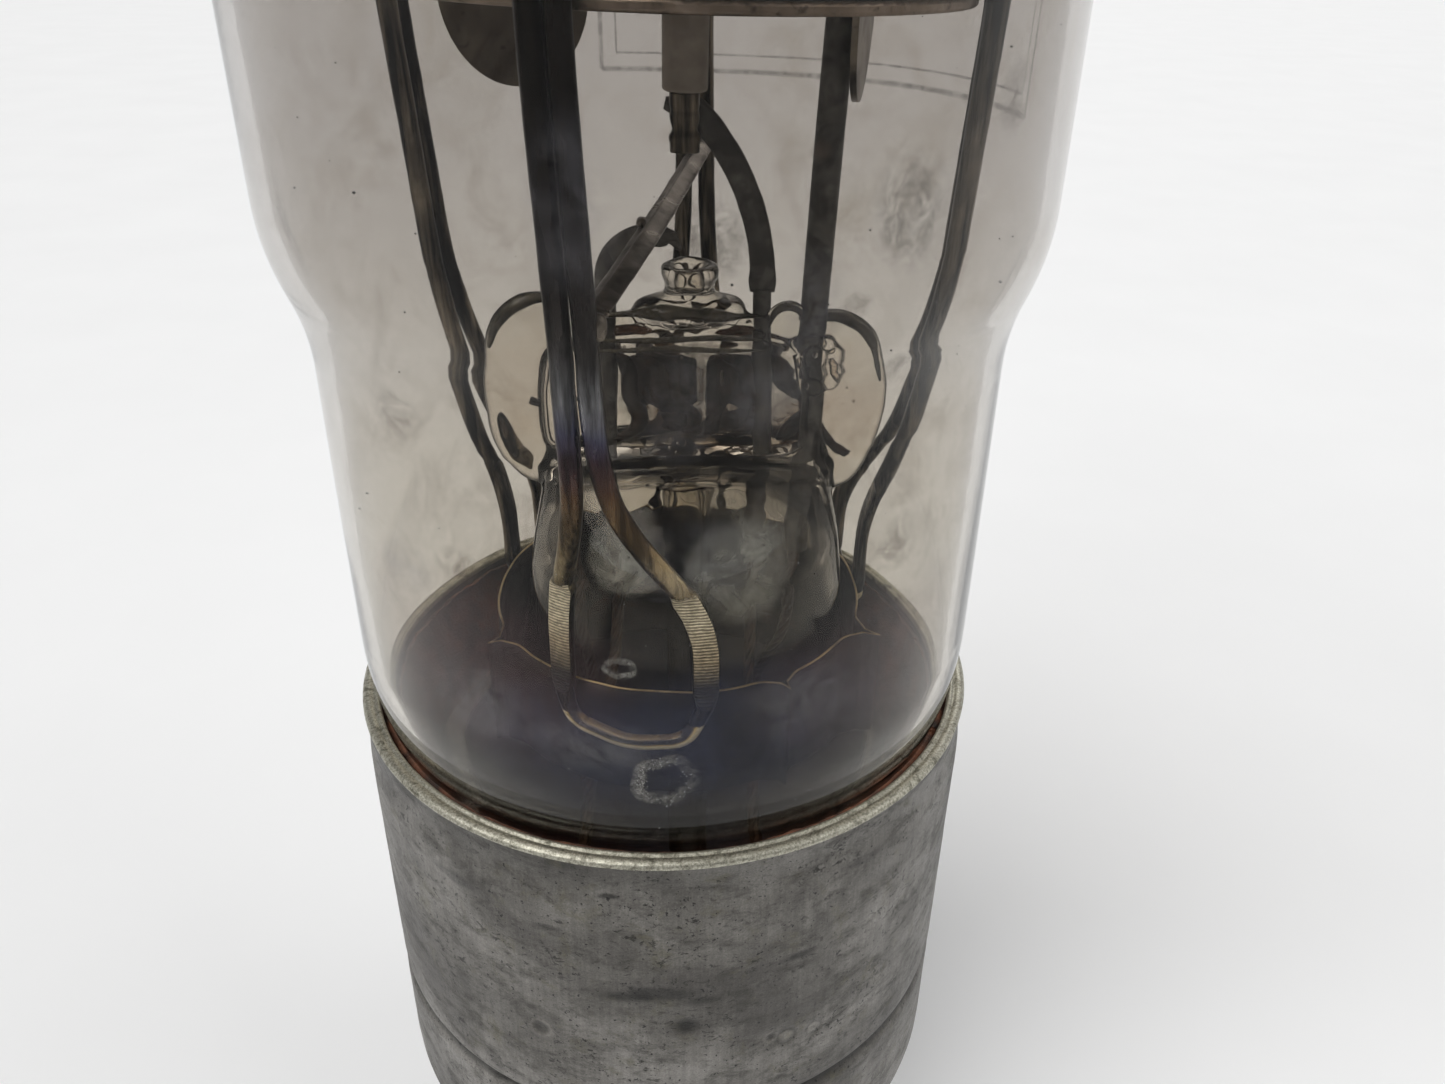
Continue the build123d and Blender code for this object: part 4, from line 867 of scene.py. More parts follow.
def make_world():
    """Pale low down at the sides and behind; dark above and in front, so that glass gets dark edges."""
    world = bpy.data.worlds.new("world")
    world.use_nodes = True
    tree = world.node_tree
    coords = tree.nodes.new("ShaderNodeTexCoord")
    split = tree.nodes.new("ShaderNodeSeparateXYZ")
    tree.links.new(coords.outputs["Generated"], split.inputs[0])
    ramps = []
    for axis, stops in (("Z", ((0.0, 0.93), (0.40, 0.10))), ("Y", ((0.25, 0.36), (0.62, 1.0)))):
        ramp = tree.nodes.new("ShaderNodeValToRGB")
        for mark, (position, value) in zip(ramp.color_ramp.elements, stops):
            mark.position = position
            mark.color = (value, value, value, 1)
        source = split.outputs[axis]
        if axis == "Y":
            half = tree.nodes.new("ShaderNodeMath")
            half.operation = "MULTIPLY_ADD"
            half.inputs[1].default_value = 0.5
            half.inputs[2].default_value = 0.5
            tree.links.new(source, half.inputs[0])
            source = half.outputs[0]
        tree.links.new(source, ramp.inputs[0])
        ramps.append(ramp)
    both = tree.nodes.new("ShaderNodeMix")
    both.data_type = "RGBA"
    both.blend_type = "MULTIPLY"
    both.inputs[0].default_value = 1.0
    tree.links.new(ramps[0].outputs[0], both.inputs[6])
    tree.links.new(ramps[1].outputs[0], both.inputs[7])
    tree.links.new(both.outputs[2], tree.nodes["Background"].inputs[0])
    tree.nodes["Background"].inputs[1].default_value = 1.0
    bpy.context.scene.world = world


make_camera()
make_floor()
make_world()
soft_sun("key", -50, 52, 2.1, 45)
soft_sun("fill", 75, 38, 0.9, 50)
soft_sun("back", 165, 45, 1.0, 50)
bpy.context.scene.view_settings.view_transform = "Standard"


# ---------------------------------------------------------------- bulb
GLASS_WALL = 1.4
SHOULDER_Z = 33.0
SHOULDER_HEIGHT = 13.0
BODY_TOP_Z = 125.0
TURN_IN_Z = 8.0  # below this the neck turns in towards its seal
TURN_IN_R = 30.0
SEAL_RUN = 7.2  # straight stretch below that turn
SEAL_R = 5.2  # and the round seal that ends it
DOME_R = 16.0
DOME_TURN = 62.0
CROWN_R = 38.0
CROWN_TURN = 20.0
THROAT_R = 6.0  # tubulation in the crown


def envelope(inset):
    """Outline of the bulb from its seal at the bottom to the root of the tubulation."""
    step = BULB_R - NECK_R
    shoulder_r = (SHOULDER_HEIGHT**2 + step**2) / (4 * step)
    shoulder_turn = math.degrees(2 * math.atan(step / SHOULDER_HEIGHT))
    turn_in = math.degrees(math.asin(TURN_IN_Z / TURN_IN_R))
    down = [(NECK_R - inset, TURN_IN_Z)]
    down += arc(down[-1], -90, TURN_IN_R - inset, -turn_in, 10)
    run = math.radians(-90 - turn_in)
    down.append((down[-1][0] + SEAL_RUN * math.cos(run), down[-1][1] + SEAL_RUN * math.sin(run)))
    down += arc(down[-1], -90 - turn_in, SEAL_R - inset, turn_in - 84.0, 12)
    up = [(NECK_R - inset, height) for height in (14.0, 20.0, 27.0, SHOULDER_Z)]
    up += arc(up[-1], 90, shoulder_r + inset, -shoulder_turn, 8)
    up += arc(up[-1], 90 - shoulder_turn, shoulder_r - inset, shoulder_turn, 8)
    up += [(BULB_R - inset, z) for z in range(54, int(BODY_TOP_Z), 8)] + [(BULB_R - inset, BODY_TOP_Z)]
    up += arc(up[-1], 90, DOME_R - inset, DOME_TURN, 16)
    up += arc(up[-1], 90 + DOME_TURN, CROWN_R - inset, CROWN_TURN, 10)
    return down[::-1] + up


def make_bulb():
    """Envelope with both its faces, open at the tubulation that carries the cap."""
    outer = envelope(0.0)
    inner = envelope(GLASS_WALL)
    throat_z = outer[-1][1]
    tube = [(THROAT_R, throat_z + 1.2), (THROAT_R, BULB_TOP - 0.5), (THROAT_R - 0.5, BULB_TOP)]
    tube += [(THROAT_R - 1.2, BULB_TOP), (THROAT_R - 1.6, BULB_TOP - 0.5), (THROAT_R - 1.6, throat_z - 0.6)]
    tube += [(THROAT_R - 0.8, inner[-1][1])]
    inner_spots = {(round(radius, 3), round(height, 3)) for radius, height in inner}

    def uneven(point, angle):
        """Blown glass is a little uneven, and more so inside than outside."""
        radius = math.hypot(point.x, point.y)
        inside = (round(radius, 3), round(point.z, 3)) in inner_spots
        calm = min(1.0, abs(point.z - BULB_TOP) / 12)
        amount = (0.16 if inside else 0.04) * calm
        push = amount * wobble(point, 16.0, 3.0 if inside else 1.0) - (0 if inside else 0.05)
        outward = Vector((point.x, point.y, 0)).normalized()
        return outward * push

    points, faces = lathe(outer + tube + inner[::-1], 200, uneven)
    make_piece("bulb_blown", points, faces, bulb_glass, ("glass_bulb",))


make_bulb()


# ---------------------------------------------------------------- base shell
RIM_WIDTH = 1.66
SHELL_WALL = 0.8
CORNER_R = 13.0
CEMENT_LOW = -14.0


def shell_outline():
    """Loop of the shell's section: down the outside, round the bottom corner and up the inside."""
    inset_depth = ((1.40, 0.0), (1.22, -0.02), (1.10, -0.16), (0.98, -0.16), (0.86, -0.02), (0.55, 0.0))
    inset_depth += ((0.34, -0.06), (0.18, -0.18), (0.06, -0.36))
    outline = [(SHELL_R - inset, depth) for inset, depth in inset_depth]
    corner_z = SHELL_LOW + CORNER_R
    outline += [(SHELL_R, -0.6 - 0.55 * i) for i in range(int(corner_z / -0.55))]
    outline += [(SHELL_R, corner_z)]
    bottom = arc(outline[-1], -90, CORNER_R, -61.0, 26)
    inside = [(bottom[-1][0] - 0.3, bottom[-1][1] + 0.76)]
    inside += arc((SHELL_R - SHELL_WALL, corner_z), -90, CORNER_R - SHELL_WALL, -60.0, 12)[::-1]
    inside += [(SHELL_R - SHELL_WALL, z) for z in (-40, -30, -20, -10, -2.6)]
    mouth = SHELL_R - RIM_WIDTH
    inside += [(mouth, -1.6), (mouth, -0.5), (mouth + 0.08, -0.14)]
    return outline + bottom + inside


def make_shell():
    """Worn shell, dark inside with painted flare, and pale at its rim from wear and a painted highlight."""

    def worn(point, angle):
        """Rolled groove, struck rings, shallow dents, and a rim rough from handling."""
        radius = math.hypot(point.x, point.y)
        outward = Vector((point.x, point.y, 0)).normalized()
        azimuth = math.degrees(math.atan2(point.x, -point.y))
        push = 0.0
        if radius > SHELL_R - 0.05:
            push -= 0.55 * math.exp(-((point.z - GROOVE_Z) / 0.62) ** 2)
            push -= 0.26 * math.exp(-((point.z + 3.0) / 1.7) ** 2)
            push -= 0.05 * (1 + wobble(point, 9.0, 5.0)) + 0.02 * (1 + wobble(point, 1.6, 2.0))
            for middle, height, ring, *_ in DIMPLES:
                across = math.radians(azimuth - middle) * SHELL_R
                far = math.hypot(across, point.z - height)
                push -= 0.22 * math.exp(-(far / ring) ** 2)
        lift = Vector()
        if point.z > -0.5:
            nick = max(0.0, wobble(point, 1.6, 8.0)) ** 2
            lift.z = -0.05 * nick - 0.01 * (1 + wobble(point, 0.5, 4.0))
        return outward * push + lift

    points, faces = lathe(shell_outline(), 420, worn)
    shell = make_piece("shell_worn", points, faces, shell_metal, ("base_shell",))
    shell.data.materials.append(base_inside_with_flare)
    shell.data.materials.append(rim_metal)
    for face in shell.data.polygons:
        middle = face.center
        # top faces get the pale rim, partly painted highlight
        if middle.z > RIM - 0.5 * MM:
            face.material_index = 2
        # inner faces below the rim get the dark inside with its painted flare
        if math.hypot(middle.x, middle.y) < (SHELL_R - 0.6) * MM and face.normal.xy.dot(middle.xy) < 0:
            if middle.z < RIM - 2 * MM:
                face.material_index = 1


def make_cement():
    """Brown cement between the neck and the shell, with a lumpy top."""
    mouth = SHELL_R - RIM_WIDTH
    profile = [(NECK_R - 2.6, -6.8), (NECK_R - 1.6, -3.4), (NECK_R - 0.65, -1.2)]
    profile += [(mouth - 0.95, -0.75), (mouth - 0.5, -0.8), (mouth - 0.1, -1.2), (mouth - 0.1, -1.8)]
    profile += [(SHELL_R - 0.9, -3.0), (SHELL_R - 0.9, CEMENT_LOW), (NECK_R - 2.6, CEMENT_LOW)]

    def lumpy(point, angle):
        if point.z < -5:
            return Vector()
        return Vector((0, 0, 0.35 * wobble(point, 1.3, 6.0) + 0.25 * wobble(point, 4.0, 2.0) - 0.1))

    points, faces = lathe(profile, 360, lumpy)
    make_piece("cement_ring", points, faces, cement, ("base_cement",))


make_shell()
make_cement()


# ---------------------------------------------------------------- stem and press
NIPPLE = (2.05, 39.0)  # x and height of the mouth of the exhaust nipple
FLARE = (  # height, half-width in X, half-width in Y, centre in X
    (-11.3, 21.8, 21.8, 0.1),
    (-10.6, 21.2, 21.2, 0.2),
    (-10.0, 20.4, 20.4, 0.3),
    (-8.0, 18.6, 18.6, 0.6),
    (-4.0, 16.6, 16.6, 1.1),
    (2.0, 15.9, 15.9, 1.5),
    (8.0, 15.2, 15.2, 1.8),
    (14.0, 14.3, 13.6, 1.9),
    (18.0, 13.4, 10.6, 1.9),
    (22.0, 12.6, 5.6, 1.9),
    (25.0, 12.0, 2.9, 1.9),
)
STEM_WALL = 1.2
AROUND = 96  # points round the flare
FOLDS = ((34.2, -0.9, 0.62), (33.1, -1.9, 0.55), (31.9, -1.9, 0.7), (30.9, -1.6, 0.45))  # height, Y, radius
BUBBLES = (  # x, y, height, radius
    (13.6, -1.7, 32.0, 0.40), (14.5, -1.4, 31.2, 0.30), (13.0, -1.6, 30.8, 0.26), (14.7, -1.2, 30.2, 0.34),
    (11.6, -1.5, 30.2, 0.30), (12.2, -1.5, 29.4, 0.20), (-3.9, -1.2, 32.0, 0.22), (-3.4, -1.0, 31.6, 0.14),
    (-3.3, -1.3, 24.1, 0.16), (-2.9, -1.2, 23.7, 0.12), (-2.5, -1.1, 24.2, 0.14), (-2.0, -1.2, 23.9, 0.11),
    (-3.8, -1.2, 23.6, 0.12), (-1.5, -1.0, 24.3, 0.10), (1.5, -1.3, 23.6, 0.42), (1.9, -1.0, 31.2, 0.24),
    (2.4, -1.1, 30.6, 0.18), (1.4, -1.2, 30.5, 0.14), (4.9, -0.9, 29.3, 0.16), (9.4, -0.8, 26.3, 0.12),
    (-6.4, -0.2, 25.4, 0.24), (-7.6, 0.3, 28.2, 0.20), (16.6, -0.6, 27.6, 0.14), (15.9, -0.5, 29.0, 0.10),
)
LEFT_EAR = (  # outline in X and height
    (-8.6, 34.9), (-10.4, 35.3), (-12.1, 34.9), (-13.9, 33.6), (-14.8, 31.6), (-15.0, 28.4), (-14.7, 24.6),
    (-13.8, 21.4), (-12.3, 19.5), (-10.4, 19.8), (-9.2, 21.4),
)
RIGHT_EAR = (
    (12.3, 32.2), (13.3, 33.5), (15.5, 33.7), (17.5, 32.5), (18.7, 30.8), (19.0, 28.7), (18.8, 25.4),
    (18.2, 22.4), (17.1, 19.9), (15.9, 18.7), (14.4, 19.0), (13.2, 20.6),
)
MIDDLE_LOBE = ((8.9, 32.4), (9.3, 34.0), (10.4, 34.9), (11.6, 34.5), (12.2, 32.8), (12.0, 30.0))
PRESS_Y = 0.2
CLUSTER = (  # centre and radius of the lumps of glass round the bar
    ((11.6, -1.2, 31.6), 0.9), ((12.8, -1.7, 32.2), 0.7), ((14.1, -1.5, 31.9), 0.8),
    ((14.9, -1.2, 30.8), 0.8), ((14.3, -1.4, 29.7), 0.7), ((12.9, -1.8, 29.3), 0.8),
    ((11.7, -1.3, 29.6), 0.7),
)


def flare_at(height):
    """Half-widths in X and Y and the centre of the flare at a height, with the steps smoothed out."""
    sums = [0.0, 0.0, 0.0]
    offsets = (-1.2, -0.8, -0.4, 0.0, 0.4, 0.8, 1.2)
    for offset in offsets:
        level = min(max(height + offset, FLARE[0][0]), FLARE[-1][0])
        for low, high in zip(FLARE, FLARE[1:]):
            if level <= high[0]:
                share = (level - low[0]) / (high[0] - low[0])
                break
        for k in range(3):
            sums[k] += (low[k + 1] + share * (high[k + 1] - low[k + 1])) / len(offsets)
    return sums


def slab(outline, half, y):
    """Flat plate with an outline given in X and height."""
    front = [Vector((x, y - half, z)) for x, z in outline]
    back = [Vector((x, y + half, z)) for x, z in outline]
    return skin([front, back])


def bead(outline, radius, y, swell=0.0, swell_from=0.0):
    """Rolled edge along an outline given in X and height, thicker by `swell` near its top."""
    route = resampled(bent([(x, y, z) for x, z in outline], 2.4), 0.4)
    last = len(route) - 1

    def section(i, point):
        taper = 0.55 + 0.45 * math.sin(math.pi * i / last) ** 0.5
        thick = radius + swell * clamp((point.z - swell_from) / 2.5)
        size = thick * taper * (1 + 0.12 * wobble(point, 3.0, 2.0))
        return size, size, 2

    return sweep(route, section, toward_back, 16)


def onto_flare(point):
    """The point moved onto the smooth flare, if it lies close to one of its two walls."""
    half_x, half_y, centre = flare_at(point.z)
    share = clamp((15.0 - point.z) / 3.0) * clamp((point.z + 9.8) / 1.0)
    offset = Vector((point.x - centre, point.y, 0.0))
    for wall in (0.0, STEM_WALL):
        reach = math.hypot(offset.x / (half_x - wall), offset.y / (half_y - wall))
        if abs(reach - 1) * half_x < 0.5:
            return point + offset * (1 / reach - 1) * share
    return point.copy()


def make_stem():
    """Flare, press, ears and nipple melted into one body of glass, with bubbles left in it."""
    outer = []
    inner = []
    for height, half_x, half_y, centre in FLARE:
        for rings, wall in ((outer, 0.0), (inner, STEM_WALL)):
            ring = []
            for i in range(AROUND):
                angle = 2 * math.pi * i / AROUND
                ring.append(Vector((
                    centre + (half_x - wall) * math.cos(angle),
                    (half_y - wall) * math.sin(angle),
                    height - (0.5 if wall and height > 16 else 0),
                )))
            rings.append(ring)
    points, faces = skin(outer + inner[::-1], closed=True)
    inner_low = len(outer) * AROUND
    top_low = inner_low - AROUND
    walls = [face for face in faces if min(face) < top_low or max(face) < inner_low or min(face) >= inner_low]
    lids = [tuple(range(top_low, inner_low)), tuple(range(inner_low, inner_low + AROUND))[::-1]]
    parts = [(points, walls + lids)]
    parts.append(pillow((0.9, 0, 26.9), (11.6, 2.6, 5.2), 5.0))  # middle of the press
    parts.append(pillow((0.8, 0, 32.6), (8.6, 1.9, 1.9), 2.6))  # bar along its top
    for height, front, radius in FOLDS:
        line = [(-6.6, height - 0.3), (-2.0, height + 0.1), (3.0, height - 0.1), (8.6, height - 0.2)]
        parts.append(bead(line, radius, front))  # folds along the bar
    for outline, top in ((LEFT_EAR, 32.6), (RIGHT_EAR, 31.0)):
        parts.append(slab(outline, 0.9, PRESS_Y))
        parts.append(bead(outline, 0.95, PRESS_Y, 0.35, top))
    parts.append(slab(MIDDLE_LOBE + ((8.9, 30.0),), 1.1, PRESS_Y))
    parts.append(bead(MIDDLE_LOBE, 0.85, PRESS_Y - 0.4))
    for centre, radius in CLUSTER:
        parts.append(pillow(centre, (radius, 0.9 * radius, radius), 2.0, 0.0, 10, 16))
    parts.append(pillow((NIPPLE[0], 0, 34.6), (4.9, 2.9, 1.7), 2.2))  # shoulder of the nipple
    ledge = []
    for degrees in range(-180, 1, 6):
        c = math.cos(math.radians(degrees))
        s = math.sin(math.radians(degrees))
        ledge.append(Vector((1.9 + 12.4 * c, 5.6 * s, 20.6 - 2.2 * s**3)))
    parts.append(sweep(ledge, lambda i, point: (1.0, 1.0, 2), upward, 14))  # thick fold over the flare
    mouth = [(1.25, 33.0), (1.25, 38.2), (1.45, 38.9), (1.95, 39.0), (2.45, 38.7)]
    mouth += [(2.45, 37.9), (2.1, 37.0), (2.3, 35.6), (3.2, 34.2)]
    parts.append(lathe(mouth, 48, None, (NIPPLE[0], 0)))

    points, faces = joined(parts)
    mesh = bpy.data.meshes.new("stem_rough")
    mesh.from_pydata(points, [], faces)
    rough = bpy.data.objects.new("stem_rough", mesh)
    bpy.context.scene.collection.objects.link(rough)
    tidy = bmesh.new()
    tidy.from_mesh(mesh)
    bmesh.ops.recalc_face_normals(tidy, faces=tidy.faces)
    tidy.to_mesh(mesh)
    tidy.free()
    melt = rough.modifiers.new("melt", "REMESH")
    melt.mode = "VOXEL"
    melt.voxel_size = 0.26
    soften = rough.modifiers.new("soften", "SMOOTH")
    soften.factor = 0.6
    soften.iterations = 9
    melted = rough.evaluated_get(bpy.context.evaluated_depsgraph_get()).to_mesh()
    melted_points = []
    for vertex in melted.vertices:
        point = vertex.co
        above = clamp((point.z - 16) / 6) * (1 - 0.7 * clamp((abs(point.x - 1.9) - 9) / 2))
        push = 0.13 * above * wobble(point, 3.2, 9.0) + 0.06 * above * wobble(point, 1.3, 4.0)
        melted_points.append(onto_flare(point) + vertex.normal * push)
    melted_faces = [tuple(face.vertices) for face in melted.polygons]
    bpy.data.objects.remove(rough)
    stands_for = ("glass_stem", "lead_bead")
    stem = make_piece("stem_melted", melted_points, melted_faces, stem_glass, stands_for)

    bubbles = bmesh.new()
    for x, y, height, radius in BUBBLES:
        where = Matrix.Translation(place((x, y, height))) @ Matrix.Diagonal((1, 0.8, 1.15, 1))
        made = bmesh.ops.create_icosphere(bubbles, subdivisions=3, radius=radius * MM, matrix=where)
        for vertex in made["verts"]:
            for face in vertex.link_faces:
                face.smooth = True
    bmesh.ops.reverse_faces(bubbles, faces=bubbles.faces)
    body = bmesh.new()
    body.from_mesh(stem.data)
    bubble_mesh = bpy.data.meshes.new("bubbles")
    bubbles.to_mesh(bubble_mesh)
    body.from_mesh(bubble_mesh)
    body.to_mesh(stem.data)
    body.free()
    bubbles.free()


make_stem()


# ---------------------------------------------------------------- painted shade in the rolled edges of the press
# Each roll is a dark rod of painted shade inside the glass.
ROLL_SHADES = (  # thickness, Y, then X and height along each roll of darker glass
    (0.46, PRESS_Y, (
        (-15.1, 31.0), (-14.5, 32.8), (-13.5, 34.3), (-11.9, 35.3), (-10.0, 35.6), (-8.2, 35.3),
    )),
    (0.44, PRESS_Y, (
        (12.6, 32.9), (13.5, 33.8), (15.5, 33.9), (17.4, 32.9), (18.6, 31.1), (19.0, 29.4),
    )),
    (0.28, PRESS_Y - 0.4, ((8.9, 33.0), (9.4, 34.3), (10.4, 35.0), (11.6, 34.6), (12.1, 33.4))),
    (0.40, -0.9, ((-6.8, 34.3), (-2.0, 34.6), (3.0, 34.4), (8.4, 34.2))),
    (0.34, -1.7, ((-6.8, 32.5), (-1.0, 32.4), (4.0, 32.6), (8.6, 32.3))),
    (0.26, -1.8, ((-6.6, 31.5), (0.0, 31.7), (4.5, 31.4), (8.6, 31.4))),
)


def make_roll_shades():
    """Painted shade: dark lines set in the rolled edges and folds of the press, thickest at the top of each
    ear.
    """
    parts = []
    for thickness, y, outline in ROLL_SHADES:
        route = resampled(bent([(x, y, z) for x, z in outline], 1.2), 0.3)
        last = len(route) - 1

        def section(i, point, thickness=thickness, last=last):
            taper = 0.2 + 0.8 * math.sin(math.pi * i / last) ** 0.8
            size = thickness * taper * (1 + 0.2 * wobble(point, 1.6, 7.0))
            return size, size, 2

        parts.append(sweep(route, section, toward_back, 12))
    points, faces = joined(parts)
    make_piece("press_roll_shades", points, faces, roll_shade_dark)


def make_neck():
    """Narrow neck of glass that joins the exhaust tube to the nipple, flared where they meet."""
    top = to_rim(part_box("exhaust_tube")[1][2])
    profile = [(2.0, top + 0.05), (1.7, top + 0.5), (1.15, top + 1.0), (1.05, top + 2.4), (1.1, top + 4.0)]
    profile += [(0.8, top + 4.4), (0.7, top + 3.6), (0.7, top + 1.3), (1.2, top + 0.6), (1.5, top + 0.05)]
    points, faces = lathe(profile, 40, None, (NIPPLE[0] - 0.4, 0.0))
    make_piece("exhaust_neck", points, faces, stem_glass)


make_roll_shades()
make_neck()


# ---------------------------------------------------------------- strands splayed in the press
STRAND_Y = 0.5
STRANDS = (  # radius, then X and height along each strand
    (0.42, ((-11.7, 27.8), (-11.0, 27.5), (-10.2, 27.6))),
    (0.72, ((-4.7, 31.3), (-3.2, 29.6), (-2.7, 27.8), (-2.0, 26.2), (-2.6, 24.7), (-4.3, 23.8))),
    (0.60, ((-2.4, 30.9), (-0.6, 30.6), (1.0, 29.3), (1.2, 27.2), (0.4, 25.1))),
    (0.62, ((-1.8, 28.6), (0.2, 27.4), (2.2, 27.2), (2.8, 25.8), (1.6, 24.5))),
    (0.70, ((4.5, 30.3), (4.1, 28.4), (4.3, 26.4), (3.9, 24.0))),
    (0.66, ((4.8, 30.2), (6.6, 29.8), (8.0, 28.0), (7.6, 25.4), (5.8, 23.8))),
    (0.50, ((9.0, 29.9), (10.7, 28.8), (12.1, 27.4), (13.3, 25.1), (14.8, 22.8), (16.6, 21.5))),
    (0.62, ((13.0, 27.4), (11.7, 26.2), (10.6, 24.7), (9.9, 23.3))),
)
CLUMPS = (  # centre in X and height, half-width, half-height
    ((-1.2, 29.2), 2.2, 1.7),
    ((0.9, 28.6), 1.9, 2.0),
    ((1.3, 26.0), 1.4, 1.5),
    ((4.9, 28.6), 1.1, 2.2),
    ((6.8, 28.4), 1.9, 1.7),
    ((6.3, 25.8), 1.5, 1.3),
)


def across(point):
    """A direction that no strand runs along."""
    return Vector((0.31, 0.87, 0.39)).normalized()


def twisted(route, radius, wires, pitch):
    """Wires laid round a route like the strands of a rope."""
    parts = []
    for wire in range(wires):
        line = []
        for i, point in enumerate(route):
            along = (route[min(i + 1, len(route) - 1)] - route[max(i - 1, 0)]).normalized()
            side = along.orthogonal().normalized()
            travelled = sum((b - a).length for a, b in zip(route[: i + 1], route[1 : i + 1]))
            spin = Matrix.Rotation(2 * math.pi * (travelled / pitch + wire / wires), 3, along)
            line.append(point + spin @ side * radius * 0.52)
        parts.append(sweep(line, lambda i, p: (radius * 0.5, radius * 0.5, 2), across, 8))
    return joined(parts)


def make_strands():
    """Braid ends splayed out in the glass: twisted strands, and clumps where they ran together."""
    parts = []
    for radius, strand in STRANDS:
        route = resampled(bent([(x, STRAND_Y, z) for x, z in strand], 1.4), 0.2)
        last = len(route) - 1
        parts.append(twisted(route, radius, 4, 3.4))

        def core(i, point, radius=radius, last=last):
            taper = min(1.0, 0.5 + (last - i) / 8, 0.5 + i / 8)
            size = radius * taper * (1 + 0.25 * wobble(point, 0.9, 3.0))
            return size, size, 2

        parts.append(sweep(route, core, across, 12))
    for (x, z), half_x, half_z in CLUMPS:
        centre = Vector((x, STRAND_Y + 0.2, z))
        points, faces = pillow(centre, (half_x, 0.6, half_z), 2.2, 12.0, 28, 44)
        lumps = []
        for point in points:
            push = 0.5 * wobble(point, 1.3, 5.0) + 0.2 * wobble(point, 0.5, 1.0)
            lumps.append(point + (point - centre).normalized() * push)
        parts.append((lumps, faces))
    points, faces = joined(parts)
    make_piece("strands_twisted", points, faces, braid_oxide, ("press_seal_strands",))


make_strands()


# ---------------------------------------------------------------- hairpin supports
FOOT_R = COLLAR_R + ROD_R + 0.05
HALF_PAIR = 2.12  # half the angle between the two legs of a pair
# height, radius and how much of the spread is done there
EARLY = ((59.0, 23.7, 0.0), (36.0, 22.4, 0.1), (22.5, 20.4, 0.5), (14.5, FOOT_R, 1.0), (3.0, FOOT_R, 1.0))
LATE = ((59.0, 23.7, 0.0), (30.0, 21.3, 0.03), (24.5, 20.3, 0.2), (15.5, FOOT_R, 1.0), (3.0, FOOT_R, 1.0))
HAIRPINS = (  # name, azimuth at the cage, azimuths of the two feet, how the legs spread
    ("front", -19.0, -33.0, 6.0, LATE),
    ("right", 77.0, 95.0, 115.0, EARLY),
    ("back", 175.0, 163.0, 187.0, EARLY),
    ("left", -107.0, -128.0, -110.0, EARLY),
)
PRESSED_TOP = 18.4  # below this the legs are flattened and serrated
PRESSED_LOW = 7.0  # below this they are round again


def leg(top_azimuth, foot_azimuth, spread):
    """Route of one leg, from the cage down to the collar."""
    route = [on_circle(top_azimuth, 23.4, 114.0, 2.2)]
    for height, radius, share in spread:
        azimuth = top_azimuth + share * (foot_azimuth - top_azimuth)
        route.append(on_circle(azimuth, radius, height, COLLAR_X if share else 1.1))
    return route


def from_collar(point):
    """Outward from the axis of the collar."""
    return Vector((point.x - COLLAR_X, point.y, 0)).normalized()


def make_hairpin(name, azimuth, foot_a, foot_b, spread):
    """Two legs and the bight that joins their feet, in one rod."""
    down = leg(azimuth - HALF_PAIR, foot_a, spread)
    up = leg(azimuth + HALF_PAIR, foot_b, spread)
    bight = [
        on_circle(foot_a + 3.2, FOOT_R + 0.4, 4.4, COLLAR_X),
        on_circle((foot_a + foot_b) / 2, FOOT_R + 0.9, 3.6, COLLAR_X),
        on_circle(foot_b - 4.6, FOOT_R + 0.4, 3.7, COLLAR_X),
    ]
    knees = bent(down[:-1] + [down[-1] + Vector((0, 0, 4.0))], 5.0)
    knees_up = bent(up[:-1] + [up[-1] + Vector((0, 0, 4.0))], 5.0)
    foot = bent([knees[-1]] + bight + [knees_up[-1]], 1.7)
    route = resampled(knees[:-1] + foot + knees_up[-2::-1], 0.14)

    def section(i, point):
        pressed = clamp((PRESSED_TOP - point.z) / 0.7) * clamp((point.z - PRESSED_LOW) / 1.4)
        thin = clamp((8.0 - point.z) / 3.0)
        half_width = ROD_R + 0.22 * pressed - 0.22 * thin
        half_depth = ROD_R - 0.40 * pressed - 0.22 * thin
        uneven = 0.03 * wobble(point, 2.0, 1.0)
        return half_width + uneven, half_depth + uneven, 2 + 3.0 * pressed

    points, faces = sweep(route, section, from_collar, 24)
    front = name == "front"
    metal = support_metal if front else grey_support
    pin = make_piece(f"hairpin_{name}", points, faces, metal, (f"support_hairpin_{name}",))
    pin.data.materials.append(foot_metal if front else grey_foot)
    pin.data.materials.append(bight_highlights)
    for face in pin.data.polygons:
        height = to_rim(face.center.z)
        outward = from_collar(face.center / MM).dot(face.normal)
        if PRESSED_LOW < height < PRESSED_TOP - 0.2 and outward > 0.6:
            face.material_index = 1
        elif height < 5.4:
            # the bight's faces get the painted highlights
            face.material_index = 2


for hairpin in HAIRPINS:
    make_hairpin(*hairpin)


# ---------------------------------------------------------------- collar
COLLAR_WALL = 0.16
EARS = ((-61, 2.0), (28, 1.9), (63, 3.0), (152, 2.2), (-152, 2.2))  # azimuth, reach


